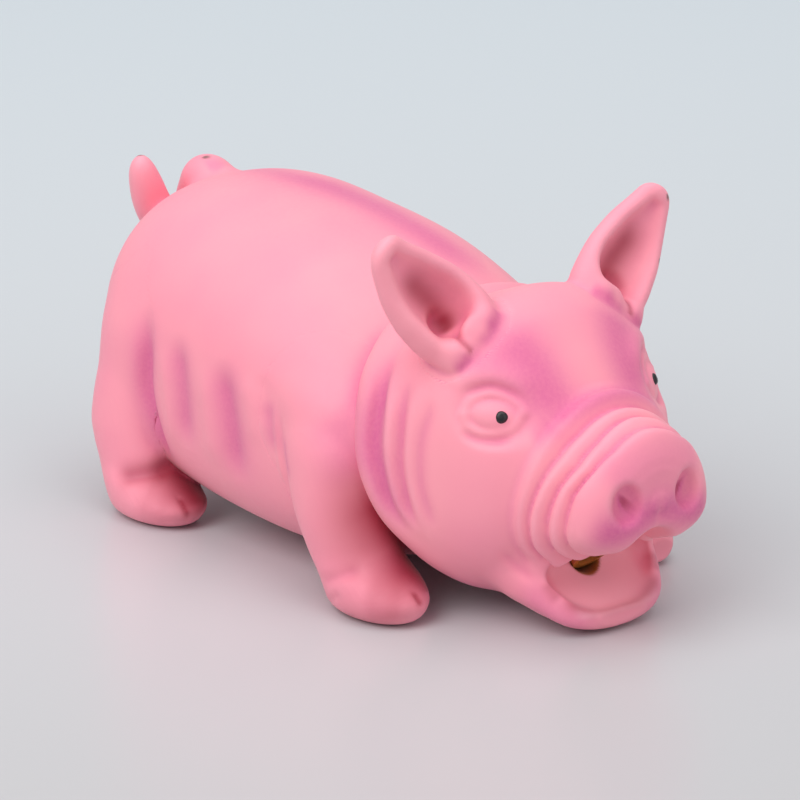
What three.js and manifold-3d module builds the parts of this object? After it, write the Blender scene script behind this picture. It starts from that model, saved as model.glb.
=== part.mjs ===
// A grunting latex pig: a squeezable dog toy with a soft painted skin, a fibre filling and a reed voice box.
// Millimetres, +Z up. The pig stands on z = 0 and looks along -Y, with its right side towards -X.
import * as THREE from "three";
import { LoftGeometry } from "three/addons/geometries/LoftGeometry.js";
import { mergeVertices } from "three/addons/utils/BufferGeometryUtils.js";
import Module from "manifold-3d";

const wasm = await Module();
wasm.setup();

// Driving dimensions
const skinWall = 2.5;          // thickness of the latex skin
const gap = 0.4;               // room between neighbours
const bodySides = 24;          // facets round the trunk and head
const jawSides = 18;
const limbSides = 14;          // facets round a leg
const tailSides = 12;
const ringSides = 24;          // facets round a turned piece
const rowSteps = 2;            // sections from one row of a form to the next
const leastHalf = 0.8;         // no section is thinner than twice this
const far = 300;               // longer than the pig, for cutting blocks
const over = 3;                // how far a cutter reaches past the face that it cuts
const play = 1;                // degrees that a room allows past each end of a range

// How full a section is, above and below its widest level: 2 is an ellipse, more is boxier
const trunkFullness = [2.35, 2.8];
const headFullness = [2.3, 2.35];
const snoutFullness = [1.9, 2.3];
const jawFullness = [2.35, 2.35];

// Each row of a form: place along the form, half width, bottom, widest level, top.
const torsoRows = [
  [-61, 6, 42, 47, 52],
  [-57, 28, 20, 46, 65],
  [-48, 42, 12, 45, 69],
  [-32, 48, 7.5, 45, 75],
  [-12, 51, 4, 46, 86],
  [13, 52.5, 3, 46, 95],
  [43, 52.5, 3, 46, 97.5],
  [68, 51, 6, 47, 97.6],
  [86, 47, 12, 49, 94],
  [97, 37.5, 22, 51, 86],
  [102.6, 24.5, 34, 53, 74],
  [105.5, 6, 51, 55, 60],
];
const headRows = [
  [-100, 5, 38, 42, 46],
  [-97.5, 15, 29, 42, 54],
  [-92.5, 22, 24.5, 42, 60],
  [-86, 28, 19, 42, 68],
  [-79, 34.5, 12, 42, 77],
  [-70, 39.5, 6.5, 42, 86.5],
  [-60, 44, 5, 43, 90.5],
  [-48, 46.5, 7.5, 44, 87.5],
  [-40, 45.5, 12.5, 46, 84],
  [-33, 39, 19.5, 48, 82.5],
  [-28, 30, 27, 49, 77],
  [-25, 12, 40, 50, 62],
];
// The snout is a stack of three rolled wrinkles that ends in the flat nose.
const snoutRows = [
  [-111.8, 10, 34, 40, 50.5],
  [-110.4, 15.5, 31.5, 39, 55],
  [-107.6, 20.5, 29.4, 38, 58.8],
  [-104.2, 21.8, 27.8, 37, 58.8],
  [-101.5, 24.6, 25.6, 36.5, 60.6],
  [-98.5, 24.6, 24, 36.5, 59.8],
  [-95.5, 26.8, 22, 36.5, 62.2],
  [-92, 26.5, 20.4, 37, 62.6],
  [-88.5, 30, 17.6, 38, 68.4],
  [-85, 29, 17, 38, 67],
  [-80, 26, 17, 38, 64],
];
const jawRows = [
  [-98.8, 7, 2.4, 4.8, 7],
  [-97.4, 13.5, 1.2, 5, 9],
  [-94.5, 18.6, 0.6, 6, 11],
  [-91.5, 21.4, 0.6, 7, 13.2],
  [-88, 23.4, 0.8, 8.5, 15.4],
  [-84, 24.2, 1.2, 9.5, 16.6],
  [-76, 23.5, 3, 9.5, 15.8],
  [-70, 19, 5, 9, 13],
  [-66.5, 9, 7, 9, 11],
];

// Each row of a leg: height, centre x, centre y, half width, half length. The x is for the right side.
const frontLegRows = [
  [0, -44.2, -45.7, 6.5, 9.6],
  [0.8, -44.2, -45.7, 9.1, 13.2],
  [2.6, -44.2, -45.7, 11.2, 15.8],
  [6.5, -44.2, -45.7, 12.6, 17.2],
  [11, -44.2, -42, 12.6, 17],
  [17, -44.2, -36.5, 12.4, 16.8],
  [25, -44, -32, 12.3, 16.4],
  [35, -43.5, -27.5, 12.2, 16],
  [46, -42.5, -23, 11.8, 16],
  [57, -40.5, -19, 9.5, 13],
  [65, -38.5, -17, 3.5, 5.5],
];
const rearLegRows = [
  [0, -45, 61.8, 6.5, 11.4],
  [0.8, -45, 61.8, 9.2, 15],
  [2.6, -45, 61.8, 11.4, 17.8],
  [6.5, -45, 61.8, 12.8, 19.4],
  [12, -45, 64, 12.7, 18.8],
  [19, -44.5, 68.5, 12.5, 18],
  [30, -43.2, 72.5, 12.5, 17.2],
  [46, -41, 72, 12.4, 17],
  [58, -39, 70.5, 12.2, 15.5],
  [68, -38.6, 69, 10, 11],
  [75, -39.6, 68.2, 6, 6],
  [79, -40.8, 68, 2.2, 2.5],
];
const legInnerFace = 33;       // legs lie outside this distance from the middle plane
const leftStep = { inward: 2, forward: 8 };     // the left front foot stands ahead of the right one
const toeCleft = { width: 1.6, depth: 6, height: 10.5 };
const legSwing = { back: 6, frontForward: 2 };  // degrees; the cheek stops a front leg
const headClearance = 1.6;     // room between a front leg and the nodding head
const legSlack = 2.2;          // room round a leg in its window
const frontHip = { y: -23, z: 46 };
const rearHip = { y: 72, z: 46 };

// The head nods about a cross axis, inside a socket that is round about that axis.
const nod = { y: -57, z: 45, up: 8, down: 3 };
const neckSocket = { across: 58, radius: 38, room: 1.2, fillingRoom: 3 };
const neckOpening = -31;       // the head shell is open behind this y

// The lower jaw: a scoop under the snout.
const jawHinge = { y: -69, z: 9, close: 10, open: 2 };
const jawScoop = { y: -84, z: 15.5, across: 19.5, along: 14, deep: 11.2 };
const palate = { y: -94, z: 16, across: 17.5, along: 17, deep: 10.5 };
const lipArch = { y: -107, z: 23, across: 11.4, along: 13, deep: 11 };
const nostril = { x: 10.8, y: -111, z: 42.6, across: 3.9, deep: 2.6, tall: 4.6 };

// The ears, given for the right side: where the base starts and ends, and the tip.
const earBaseInner = new THREE.Vector3(-16.5, -60.3, 86.1);
const earBaseOuter = new THREE.Vector3(-37.1, -62.1, 74.9);
const earTip = new THREE.Vector3(-51.4, -56.1, 109.5);
const earBow = new THREE.Vector3(2, 2.6, 0);   // how far its middle bows inward and back
const earGroove = 8.3;         // radius of the groove that its root turns in
const earEdgeSteps = 7;        // points across each face of the ear
// Each row of an ear: distance up the ear, half width, depth of the cup, thickness.
const earRows = [
  [-3, 11, 5, 6],
  [3, 12.8, 6.5, 5.2],
  [13, 12.5, 6, 4.2],
  [23, 10.8, 4.6, 4],
  [32, 7, 2.6, 3.6],
  [37, 3.8, 1.2, 3],
  [39, 1.2, 0.3, 1.6],
];

// The tail: from inside the rump, over the top, round to the pig's right and up to its tip.
const tailPath = [
  [0, 84, 83, 7],
  [0, 89.5, 90, 7.6],
  [0.5, 95, 92.2, 7.4],
  [1, 100.5, 87.6, 6.4],
  [-1, 104, 81, 5.7],
  [-6, 106.4, 77.6, 5.3],
  [-11.5, 105, 79.6, 5.1],
  [-16, 103, 85.5, 4.9],
  [-19.2, 101.2, 92, 4.7],
  [-21.2, 100.2, 97.2, 4],
  [-21.8, 99.8, 100.4, 1.6],
];
const tailSlack = 2.4;         // room round the tail where it leaves the rump

// The back panel that a dog or a hand squeezes.
const backPanel = { y: 31, across: 29, along: 45, floor: 58, curveSteps: 16 };
const fillingGap = 0.6;        // room between the filling and the skin

// Painted pupils, given for the right side
const pupil = { x: -27.1, y: -81, z: 64.7, radius: 2.1, height: 0.6 };
const pupilFacing = new THREE.Vector3(-0.546, -0.731, 0.408);

// The voice box lies on an axis that runs up and back from the throat hole.
const throat = { y: -85.2, z: 18.2, tilt: 45, hole: 6.2, drill: 30 };
const collar = { flange: 8.4, flangeThick: 1.8, taper: 0.8, lip: 0.4 };
const barrel = { radius: 11, wall: 1.5, front: 10.3, back: 37 };
const nozzle = { radius: 4, bore: 2.8, tip: -0.8 };
const capThickness = 2;
const spigot = { radius: 9.1, length: 2.4 };
const vents = { count: 6, radius: 1.5, circle: 5.5, drill: 20, sides: 12 };
const seat = { radius: 4, trough: 2.4, troughWidth: 3.4, length: 17, end: 2, face: 0.9 };
const reed = { width: 5, length: 15, thick: 0.35, inset: 0.8, lift: 0.45 };
const clip = { length: 4.5, clear: 0.35, heel: 2.6, toe: 1.2, relief: 0.35 };

const pink = 0xe88aa4;
const deepPink = 0xd0648a;
const earRose = 0xb84462;
const black = 0x0b0909;
const fibreWhite = 0xeeece6;
const casingIvory = 0xe6dcc4;
const latexBare = 0xcf9a5a;
const reedClear = 0xcfd6d8;

// Solids
function solidOf(geometry) {
  const bare = new THREE.BufferGeometry();
  bare.setAttribute("position", geometry.getAttribute("position").clone());
  if (geometry.index) {
    bare.setIndex(geometry.index.clone());
  }
  const merged = mergeVertices(bare, 1e-4);
  return new wasm.Manifold(new wasm.Mesh({
    numProp: 3,
    vertProperties: new Float32Array(merged.getAttribute("position").array),
    triVerts: new Uint32Array(merged.index.array),
  }));
}

function geometryOf(solid) {
  const mesh = solid.getMesh();
  const geometry = new THREE.BufferGeometry();
  geometry.setAttribute("position", new THREE.BufferAttribute(mesh.vertProperties, 3));
  geometry.setIndex(new THREE.BufferAttribute(mesh.triVerts, 1));
  geometry.computeVertexNormals();
  return geometry;
}

function joined(solids) {
  return solids.reduce((whole, solid) => whole.add(solid));
}

function ellipsoid(x, y, z, radiusX, radiusY, radiusZ, sides = 24) {
  const geometry = new THREE.SphereGeometry(1, sides, sides / 2);
  geometry.scale(radiusX, radiusY, radiusZ);
  geometry.translate(x, y, z);
  return solidOf(geometry);
}

function box(width, length, height, x, y, z) {
  return solidOf(new THREE.BoxGeometry(width, length, height).translate(x, y, z));
}

// A smooth run of values through the rows, with a few steps between each pair.
function smoothRows(rows, steps) {
  const size = rows[0].length;
  const track = new THREE.CubicInterpolant(rows.map((row, index) => index), rows.flat(), size);
  const count = (rows.length - 1) * steps;
  return Array.from({ length: count + 1 }, (unused, index) => [...track.evaluate(index / steps)]);
}

function superPoint(angle, power) {
  const c = Math.cos(angle);
  const s = Math.sin(angle);
  return [Math.sign(c) * Math.abs(c) ** (2 / power), Math.sign(s) * Math.abs(s) ** (2 / power)];
}

function loft(sections) {
  return solidOf(new LoftGeometry(sections, { capStart: true, capEnd: true }));
}

// A form along Y, made fuller by grow, or thinner where grow is negative.
function bodyForm(rows, fullness, grow = 0, steps = rowSteps, sides = bodySides) {
  const first = rows[0][0];
  const last = rows[rows.length - 1][0];
  const sections = smoothRows(rows, steps).map(([y, halfWidth, bottom, widest, top]) => {
    const placed = y + grow * (2 * (y - first) / (last - first) - 1);
    const half = Math.max(halfWidth + grow, leastHalf);
    const above = Math.max(top + grow - widest, leastHalf);
    const below = Math.max(widest - bottom + grow, leastHalf);
    return Array.from({ length: sides }, (unused, side) => {
      const angle = side / sides * 2 * Math.PI;
      const [across, up] = superPoint(angle, fullness[Math.sin(angle) > 0 ? 0 : 1]);
      return new THREE.Vector3(-across * half, placed, widest + up * (up > 0 ? above : below));
    });
  });
  return loft(sections);
}

// A leg along Z, on a flat sole.
function legForm(rows, side) {
  const sections = smoothRows(rows, rowSteps).map(([z, x, y, halfWidth, halfLength]) => (
    Array.from({ length: limbSides }, (unused, step) => {
      const angle = step / limbSides * 2 * Math.PI;
      return new THREE.Vector3(-x * side + Math.cos(angle) * halfWidth, y + Math.sin(angle) * halfLength, z);
    })
  ));
  return loft(sections);
}

// The same leg, stepped forward and inward below the hip.
function steppedRows(rows, hip, step) {
  return rows.map(([z, x, y, ...halves]) => {
    const share = Math.max(1 - z / hip.z, 0);
    return [z, x + step.inward * share, y - step.forward * share, ...halves];
  });
}

// Turns a solid about an axis through a point.
function turned(solid, point, axis, degrees) {
  const matrix = new THREE.Matrix4().makeTranslation(point);
  matrix.multiply(new THREE.Matrix4().makeRotationAxis(axis, THREE.MathUtils.degToRad(degrees)));
  matrix.multiply(new THREE.Matrix4().makeTranslation(point.clone().negate()));
  return solid.transform(matrix.elements);
}

// The room that a form sweeps between two angles.
function room(form, point, axis, from, to, steps = 2) {
  const turns = Array.from({ length: steps + 1 }, (unused, index) => from + (to - from) * index / steps);
  return joined(turns.map((angle) => turned(form, point, axis, angle)));
}

const acrossX = new THREE.Vector3(1, 0, 0);
const sideNames = [["right", -1], ["left", 1]];

// Legs, with a toe cleft at the front, flat on the inner side
function outsideOf(side, face) {
  return box(far, far, far, side * (face + far / 2), 0, 0);
}

function leg(rows, side) {
  const [, toeX, toeY, , toeLength] = rows[3];
  const toeFront = toeY - toeLength;
  const cleft = box(
    toeCleft.width, toeCleft.depth + over, toeCleft.height + over,
    -toeX * side, toeFront + (toeCleft.depth - over) / 2, (toeCleft.height - over) / 2,
  );
  return legForm(rows, side).intersect(outsideOf(side, legInnerFace)).subtract(cleft);
}

// The window in the flank that a leg swings in: its side outline, wider the further it is from the hip.
function legWindow(rows, hip, side) {
  const sway = Math.tan(THREE.MathUtils.degToRad(legSwing.back + play));
  const edge = (direction) => rows.map(([z, , y, , halfLength]) => (
    new THREE.Vector2(y + direction * (halfLength + legSlack + Math.abs(z - hip.z) * sway), z)
  ));
  const front = edge(-1);
  const rear = edge(1).reverse();
  const crown = new THREE.Vector2(rows.at(-1)[2], rows.at(-1)[0] + legSlack);
  const outline = new THREE.Shape([...front, crown, ...rear]);
  const prism = new THREE.ExtrudeGeometry(outline, { depth: far, bevelEnabled: false });
  prism.rotateX(Math.PI / 2).rotateZ(Math.PI / 2);
  const start = legInnerFace - gap;
  return solidOf(prism.translate(side > 0 ? start : -start - far, 0, 0));
}

// The head's bulk as it nods, seen from a leg that swings, so that the front legs stay clear of it
const nodPivot = new THREE.Vector3(0, nod.y, nod.z);
const headBulk = bodyForm(headRows, headFullness, headClearance, 1);
const frontPivot = new THREE.Vector3(0, frontHip.y, frontHip.z);
const nodRoom = room(headBulk, nodPivot, acrossX, -nod.up - play, nod.down + play);
const headRoom = room(
  nodRoom,
  frontPivot, acrossX, -legSwing.back - play, legSwing.frontForward + play,
);

const legs = sideNames.flatMap(([name, side]) => {
  const frontRows = side > 0 ? steppedRows(frontLegRows, frontHip, leftStep) : frontLegRows;
  return [
    {
      name: `${name}_front_leg`,
      solid: leg(frontRows, side).subtract(headRoom),
      room: legWindow(frontRows, frontHip, side),
    },
    {
      name: `${name}_rear_leg`,
      solid: leg(rearLegRows, side),
      room: legWindow(rearLegRows, rearHip, side),
    },
  ];
});
const legRooms = joined(legs.map((entry) => entry.room));

// Tail
function tailForm(grow = 0) {
  const points = tailPath.map(([x, y, z]) => new THREE.Vector3(x, y, z));
  const curve = new THREE.CatmullRomCurve3(points, false, "catmullrom");
  const radii = smoothRows(tailPath.map((row) => [row[3]]), rowSteps);
  const last = radii.length - 1;
  const normal = acrossX.clone();          // carried along the curve, always square to it
  return loft(radii.map(([radius], index) => {
    const centre = curve.getPoint(index / last);
    const tangent = curve.getTangent(index / last);
    normal.addScaledVector(tangent, -normal.dot(tangent)).normalize();
    const binormal = tangent.cross(normal);
    return Array.from({ length: tailSides }, (unused, side) => {
      const angle = side / tailSides * 2 * Math.PI;
      return centre.clone()
        .addScaledVector(normal, Math.cos(angle) * (radius + grow))
        .addScaledVector(binormal, Math.sin(angle) * (radius + grow));
    });
  }));
}

const tail = tailForm();
const tailRoom = tailForm(tailSlack);

// Torso: a hollow barrel, open at the neck and at the back panel
function neckSocketForm(grow) {
  const radius = neckSocket.radius + grow;
  return ellipsoid(0, nod.y, nod.z, neckSocket.across + grow, radius, radius);
}

function panelPrism(grow) {
  const outline = new THREE.Shape();
  outline.absellipse(0, backPanel.y, backPanel.across + grow, backPanel.along + grow, 0, 2 * Math.PI);
  const prism = new THREE.ExtrudeGeometry(outline, {
    depth: far,
    bevelEnabled: false,
    curveSegments: backPanel.curveSteps,
  });
  return solidOf(prism.translate(0, 0, backPanel.floor));
}

const torsoHollow = bodyForm(torsoRows, trunkFullness, -skinWall);
const torsoShell = bodyForm(torsoRows, trunkFullness)
  .subtract(torsoHollow)
  .subtract(neckSocketForm(neckSocket.room))
  .subtract(nodRoom);
const backPanelSolid = torsoShell.intersect(panelPrism(-gap / 2));
const torso = torsoShell.subtract(panelPrism(gap / 2)).subtract(legRooms).subtract(tailRoom);

const filling = bodyForm(torsoRows, trunkFullness, -skinWall - fillingGap, 1)
  .subtract(neckSocketForm(neckSocket.fillingRoom))
  .subtract(nodRoom)
  .subtract(legRooms)
  .subtract(tailRoom);

// Ears: cupped leaves that bend about their bases
function earFrame(side) {
  const mirror = (point) => new THREE.Vector3(-point.x * side, point.y, point.z);
  const inner = mirror(earBaseInner);
  const outer = mirror(earBaseOuter);
  const base = inner.clone().lerp(outer, 0.5);
  const up = mirror(earTip).sub(base).normalize();
  const across = outer.clone().sub(inner);
  across.addScaledVector(up, -across.dot(up)).normalize();
  const back = new THREE.Vector3(0, 1, 0);
  back.addScaledVector(up, -back.dot(up)).addScaledVector(across, -back.dot(across)).normalize();
  return { base, up, across, back };
}

function earForm(side) {
  const { base, up, across, back } = earFrame(side);
  const sections = smoothRows(earRows, rowSteps).map(([distance, halfWidth, cup, thick]) => {
    const bow = Math.sin(Math.PI * Math.max(distance, 0) / earRows.at(-1)[0]);
    const bowed = new THREE.Vector3(-earBow.x * side, earBow.y, earBow.z).multiplyScalar(bow);
    const place = (t, behind) => base.clone()
      .add(bowed)
      .addScaledVector(up, distance)
      .addScaledVector(across, t * halfWidth)
      .addScaledVector(back, behind);
    const shell = (t) => cup * (1 - t * t) - cup / 2;
    const half = (t) => thick / 2 * Math.sqrt(Math.max(1 - t ** 4, 0));
    const rear = [];
    const front = [];
    for (let step = 0; step < earEdgeSteps; step += 1) {
      const t = -Math.cos(step / earEdgeSteps * Math.PI);
      rear.push(place(t, shell(t) + half(t)));
      front.push(place(-t, shell(-t) - half(-t)));
    }
    return [...rear, ...front];
  });
  return loft(side > 0 ? sections.map((section) => section.reverse()) : sections);
}

// The groove in the head that an ear's root turns in
function earRoom(side) {
  const { base, across } = earFrame(side);
  const length = 2 * (earRows[1][1] + 4 * gap);
  const groove = new THREE.CylinderGeometry(earGroove, earGroove, length, limbSides);
  groove.applyQuaternion(new THREE.Quaternion().setFromUnitVectors(new THREE.Vector3(0, 1, 0), across));
  return solidOf(groove.translate(base.x, base.y, base.z));
}

const ears = sideNames.map(([name, side]) => ({
  name: `${name}_ear`,
  solid: earForm(side),
  room: earRoom(side),
}));

// Lower jaw: a scoop with a thick lip
const scoop = ellipsoid(0, jawScoop.y, jawScoop.z, jawScoop.across, jawScoop.along, jawScoop.deep);
const jaw = bodyForm(jawRows, jawFullness, 0, rowSteps, jawSides).subtract(scoop);
const jawPivot = new THREE.Vector3(0, jawHinge.y, jawHinge.z);
const jawBulk = bodyForm(jawRows, jawFullness, 2 * gap, 1, limbSides);
const jawRoom = room(jawBulk, jawPivot, acrossX, -jawHinge.close - play, jawHinge.open + play);

// Head: a hollow ball, open behind, with the throat hole in the back of the mouth
const outward = new THREE.Vector3(0, -1, 0).applyAxisAngle(acrossX, THREE.MathUtils.degToRad(throat.tilt));
const throatPlace = new THREE.Matrix4()
  .makeTranslation(0, throat.y, throat.z)
  .multiply(new THREE.Matrix4().makeRotationFromQuaternion(
    new THREE.Quaternion().setFromUnitVectors(new THREE.Vector3(0, 1, 0), outward),
  ));
const throatDrill = solidOf(
  new THREE.CylinderGeometry(throat.hole, throat.hole, throat.drill, ringSides).applyMatrix4(throatPlace),
);

const inFront = box(far, far, far, 0, neckOpening - far / 2, 0);
const head = bodyForm(headRows, headFullness)
  .subtract(bodyForm(headRows, headFullness, -skinWall))
  .intersect(inFront)
  .subtract(joined(ears.map((ear) => ear.room)))
  .subtract(jawRoom)
  .subtract(throatDrill);

// Snout: wrapped round the front of the head, hollowed by the palate, with two shallow nostrils
const nostrils = [-1, 1].map((side) => (
  ellipsoid(
    side * nostril.x, nostril.y, nostril.z,
    nostril.across, nostril.deep, nostril.tall, limbSides,
  )
));
const snout = bodyForm(snoutRows, snoutFullness)
  .subtract(bodyForm(headRows, headFullness, gap))
  .subtract(ellipsoid(0, palate.y, palate.z, palate.across, palate.along, palate.deep))
  .subtract(ellipsoid(0, lipArch.y, lipArch.z, lipArch.across, lipArch.along, lipArch.deep))
  .subtract(jawRoom)
  .subtract(joined(nostrils));

// The model
const pig = new THREE.Group();

function finish(color, roughness) {
  return new THREE.MeshStandardMaterial({ color, roughness, metalness: 0 });
}

function addPiece(parent, name, geometry, material) {
  const mesh = new THREE.Mesh(geometry, material);
  mesh.name = name;
  parent.add(mesh);
  return mesh;
}

const latex = finish(pink, 0.55);
addPiece(pig, "torso_skin", geometryOf(torso), latex);
addPiece(pig, "back_panel", geometryOf(backPanelSolid), finish(deepPink, 0.55));
addPiece(pig, "stuffing", geometryOf(filling), finish(fibreWhite, 0.95));
addPiece(pig, "head_skin", geometryOf(head), latex);
addPiece(pig, "snout", geometryOf(snout), finish(deepPink, 0.55));
addPiece(pig, "lower_jaw", geometryOf(jaw), latex);
addPiece(pig, "tail", geometryOf(tail), latex);
for (const { name, solid } of ears) {
  addPiece(pig, name, geometryOf(solid), finish(earRose, 0.55));
}
for (const { name, solid } of legs) {
  addPiece(pig, name, geometryOf(solid), latex);
}

// Pupils: drops of black paint on the eyeballs
for (const [name, side] of sideNames) {
  const drop = new THREE.SphereGeometry(1, limbSides, limbSides / 2);
  drop.scale(pupil.radius, pupil.height, pupil.radius);
  const mesh = addPiece(pig, `${name}_pupil`, drop, finish(black, 0.25));
  mesh.position.set(-pupil.x * side, pupil.y, pupil.z);
  const facing = new THREE.Vector3(-pupilFacing.x * side, pupilFacing.y, pupilFacing.z).normalize();
  mesh.quaternion.setFromUnitVectors(new THREE.Vector3(0, -1, 0), facing);
}

// Voice box, in a group whose +Y runs out through the throat hole
const voiceBox = new THREE.Group();
voiceBox.applyMatrix4(throatPlace);
pig.add(voiceBox);

function lathe(profile) {
  return new THREE.LatheGeometry(profile.map(([radius, y]) => new THREE.Vector2(radius, y)), ringSides);
}

const casing = finish(casingIvory, 0.4);
const capFace = -barrel.front + gap;                    // outer face of the barrel's front end
const capFront = capFace + capThickness;
const collarBack = capFront + gap;

// A bare latex collar that holds the nozzle in the throat
const flangeFront = collarBack + collar.flangeThick;
addPiece(voiceBox, "throat_collar", lathe([
  [nozzle.radius + gap, collarBack],
  [collar.flange, collarBack],
  [collar.flange, flangeFront],
  [throat.hole - gap, flangeFront + collar.taper],
  [throat.hole - gap, collar.lip],
  [nozzle.radius + gap, collar.lip],
  [nozzle.radius + gap, collarBack],
]), finish(latexBare, 0.6));

const spigotEnd = capFace - spigot.length;
addPiece(voiceBox, "grunter_nozzle_cap", lathe([
  [nozzle.bore, spigotEnd],
  [spigot.radius, spigotEnd],
  [spigot.radius, capFace],
  [barrel.radius, capFace],
  [barrel.radius, capFront],
  [nozzle.radius, capFront],
  [nozzle.radius, nozzle.tip],
  [nozzle.bore, nozzle.tip],
  [nozzle.bore, spigotEnd],
]), casing);

const barrelBore = barrel.radius - barrel.wall;
addPiece(voiceBox, "grunter_barrel", lathe([
  [barrelBore, -barrel.back],
  [barrel.radius, -barrel.back],
  [barrel.radius, -barrel.front],
  [barrelBore, -barrel.front],
  [barrelBore, -barrel.back],
]), casing);

// Rear cap, with a ring of vents that let the air in
const rearFace = -barrel.back - gap;
const rearCapBlank = solidOf(lathe([
  [0, rearFace - capThickness],
  [barrel.radius, rearFace - capThickness],
  [barrel.radius, rearFace],
  [spigot.radius, rearFace],
  [spigot.radius, rearFace + spigot.length],
  [0, rearFace + spigot.length],
]));
const ventDrills = Array.from({ length: vents.count }, (unused, index) => {
  const angle = index / vents.count * 2 * Math.PI;
  const drill = new THREE.CylinderGeometry(vents.radius, vents.radius, vents.drill, vents.sides);
  return solidOf(drill.translate(Math.cos(angle) * vents.circle, rearFace, Math.sin(angle) * vents.circle));
});
addPiece(voiceBox, "grunter_rear_cap", geometryOf(rearCapBlank.subtract(joined(ventDrills))), casing);

// Reed seat: a half-round trough, open towards the nozzle and along its flat face
const seatFront = spigotEnd - gap;
const seatBack = seatFront - seat.length;
const seatBody = solidOf(
  new THREE.CylinderGeometry(seat.radius, seat.radius, seat.length, ringSides)
    .translate(0, (seatFront + seatBack) / 2, 0),
);
const flatCut = box(far, far, far, seat.face + far / 2, 0, 0);
const troughBack = seatBack + seat.end;
const trough = box(
  seat.face + seat.trough + over, seatFront - troughBack + over, seat.troughWidth,
  (seat.face - seat.trough + over) / 2, (seatFront + troughBack + over) / 2, 0,
);
addPiece(voiceBox, "reed_seat", geometryOf(seatBody.subtract(flatCut).subtract(trough)), casing);

// Reed: a thin springy strip over the trough, clamped at its inner end
const reedBase = seatBack + reed.inset;
const reedSide = seat.face + reed.lift;
addPiece(
  voiceBox,
  "reed_tongue",
  new THREE.BoxGeometry(reed.thick, reed.length, reed.width)
    .translate(reedSide + reed.thick / 2, reedBase + reed.length / 2, 0),
  finish(reedClear, 0.2),
);

// Clip: a wedge that holds the reed's inner end against the seat
const clipOutline = new THREE.Shape();
const clipSide = reedSide + reed.thick + clip.clear;
const clipEnd = reedBase + clip.length;
clipOutline.moveTo(clipSide, reedBase);
clipOutline.lineTo(clipSide + clip.heel, reedBase);
clipOutline.lineTo(clipSide + clip.toe, clipEnd);
clipOutline.lineTo(clipSide + clip.relief, clipEnd);
clipOutline.closePath();
addPiece(
  voiceBox,
  "reed_clip",
  new THREE.ExtrudeGeometry(clipOutline, { depth: reed.width, bevelEnabled: false })
    .translate(0, 0, -reed.width / 2),
  casing,
);

export default pig;
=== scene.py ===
import copy
import math

import bpy
import numpy as np
import openvdb
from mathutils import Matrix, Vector
from mathutils.bvhtree import BVHTree


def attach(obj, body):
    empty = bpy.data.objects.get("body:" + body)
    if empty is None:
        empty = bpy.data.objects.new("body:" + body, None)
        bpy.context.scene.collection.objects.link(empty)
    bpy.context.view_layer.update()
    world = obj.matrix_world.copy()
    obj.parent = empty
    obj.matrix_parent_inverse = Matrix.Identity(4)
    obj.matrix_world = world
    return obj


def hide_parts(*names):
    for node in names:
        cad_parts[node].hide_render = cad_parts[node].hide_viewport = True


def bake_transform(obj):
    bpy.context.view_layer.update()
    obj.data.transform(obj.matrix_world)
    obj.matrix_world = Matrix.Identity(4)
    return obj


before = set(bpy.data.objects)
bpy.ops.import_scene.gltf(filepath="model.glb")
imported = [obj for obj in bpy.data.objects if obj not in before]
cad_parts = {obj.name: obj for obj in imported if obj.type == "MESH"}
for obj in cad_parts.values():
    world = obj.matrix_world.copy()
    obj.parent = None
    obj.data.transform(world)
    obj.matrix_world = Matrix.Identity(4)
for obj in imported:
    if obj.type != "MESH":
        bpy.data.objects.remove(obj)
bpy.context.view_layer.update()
mm = 0.001  # the sculpt below is in millimetres
fine = 1.0  # coarser voxels while trying things
print("frame loaded:", len(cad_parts), "nodes")

# The view, which also places what is drawn on the skin

view = {
    "azimuth": -38.84, "elevation": 17.43, "distance": 1000, "target": (-5.4, -7, 45.7),
    "lens": 153.76, "sensor": 36, "pixels": 800,
}


def viewAxes():  # to the right, up, and back to the camera
    turn, lift = math.radians(view["azimuth"]), math.radians(view["elevation"])
    right = np.array((math.cos(turn), math.sin(turn), 0))
    back = np.array((math.sin(turn) * math.cos(lift), -math.cos(turn) * math.cos(lift), math.sin(lift)))
    return right, np.cross(back, right), back


def makeCamera():
    back = Vector(viewAxes()[2])
    data = bpy.data.cameras.new("camera")
    data.lens = view["lens"]
    data.sensor_width = view["sensor"]
    camera = bpy.data.objects.new("camera", data)
    camera.location = (Vector(view["target"]) + back * view["distance"]) * mm
    camera.rotation_euler = (-back).to_track_quat("-Z", "Y").to_euler()
    bpy.context.scene.collection.objects.link(camera)
    bpy.context.scene.camera = camera


class Tracer:  # finds where points of the 800 x 800 picture lie on the forms
    def __init__(self, *shapes):
        starts = np.cumsum([0] + [len(shape.points) for shape in shapes])
        self.points = np.vstack([shape.points for shape in shapes])
        faces = np.vstack([shape.quads + start for shape, start in zip(shapes, starts)])
        self.tree = BVHTree.FromPolygons(self.points.tolist(), faces.tolist())

    def find(self, pixels):
        right, up, back = viewAxes()
        lensPoint = np.array(view["target"]) + back * view["distance"]
        perPixel = view["sensor"] / view["lens"] / view["pixels"]
        middle = view["pixels"] / 2
        path = []
        for x, y in pixels:
            line = right * (x - middle) * perPixel + up * (middle - y) * perPixel - back
            line /= np.linalg.norm(line)
            hit = self.tree.ray_cast(Vector(lensPoint), Vector(line))[0]
            if hit is None:  # just past the edge, so the nearest point to the line of sight
                gap = self.points - lensPoint
                off = gap - (gap @ line)[:, None] * line
                hit = self.points[np.argmin((off ** 2).sum(1))]
            path.append(tuple(hit))
        return path

    def draw(self, strokes):  # strokes: pixels, width, rise or strength
        return {name: (self.find(stroke[0]), *stroke[1:]) for name, stroke in strokes.items()}


# Sculpting tools: a form is a field of distances in a block of voxels, negative inside

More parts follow.
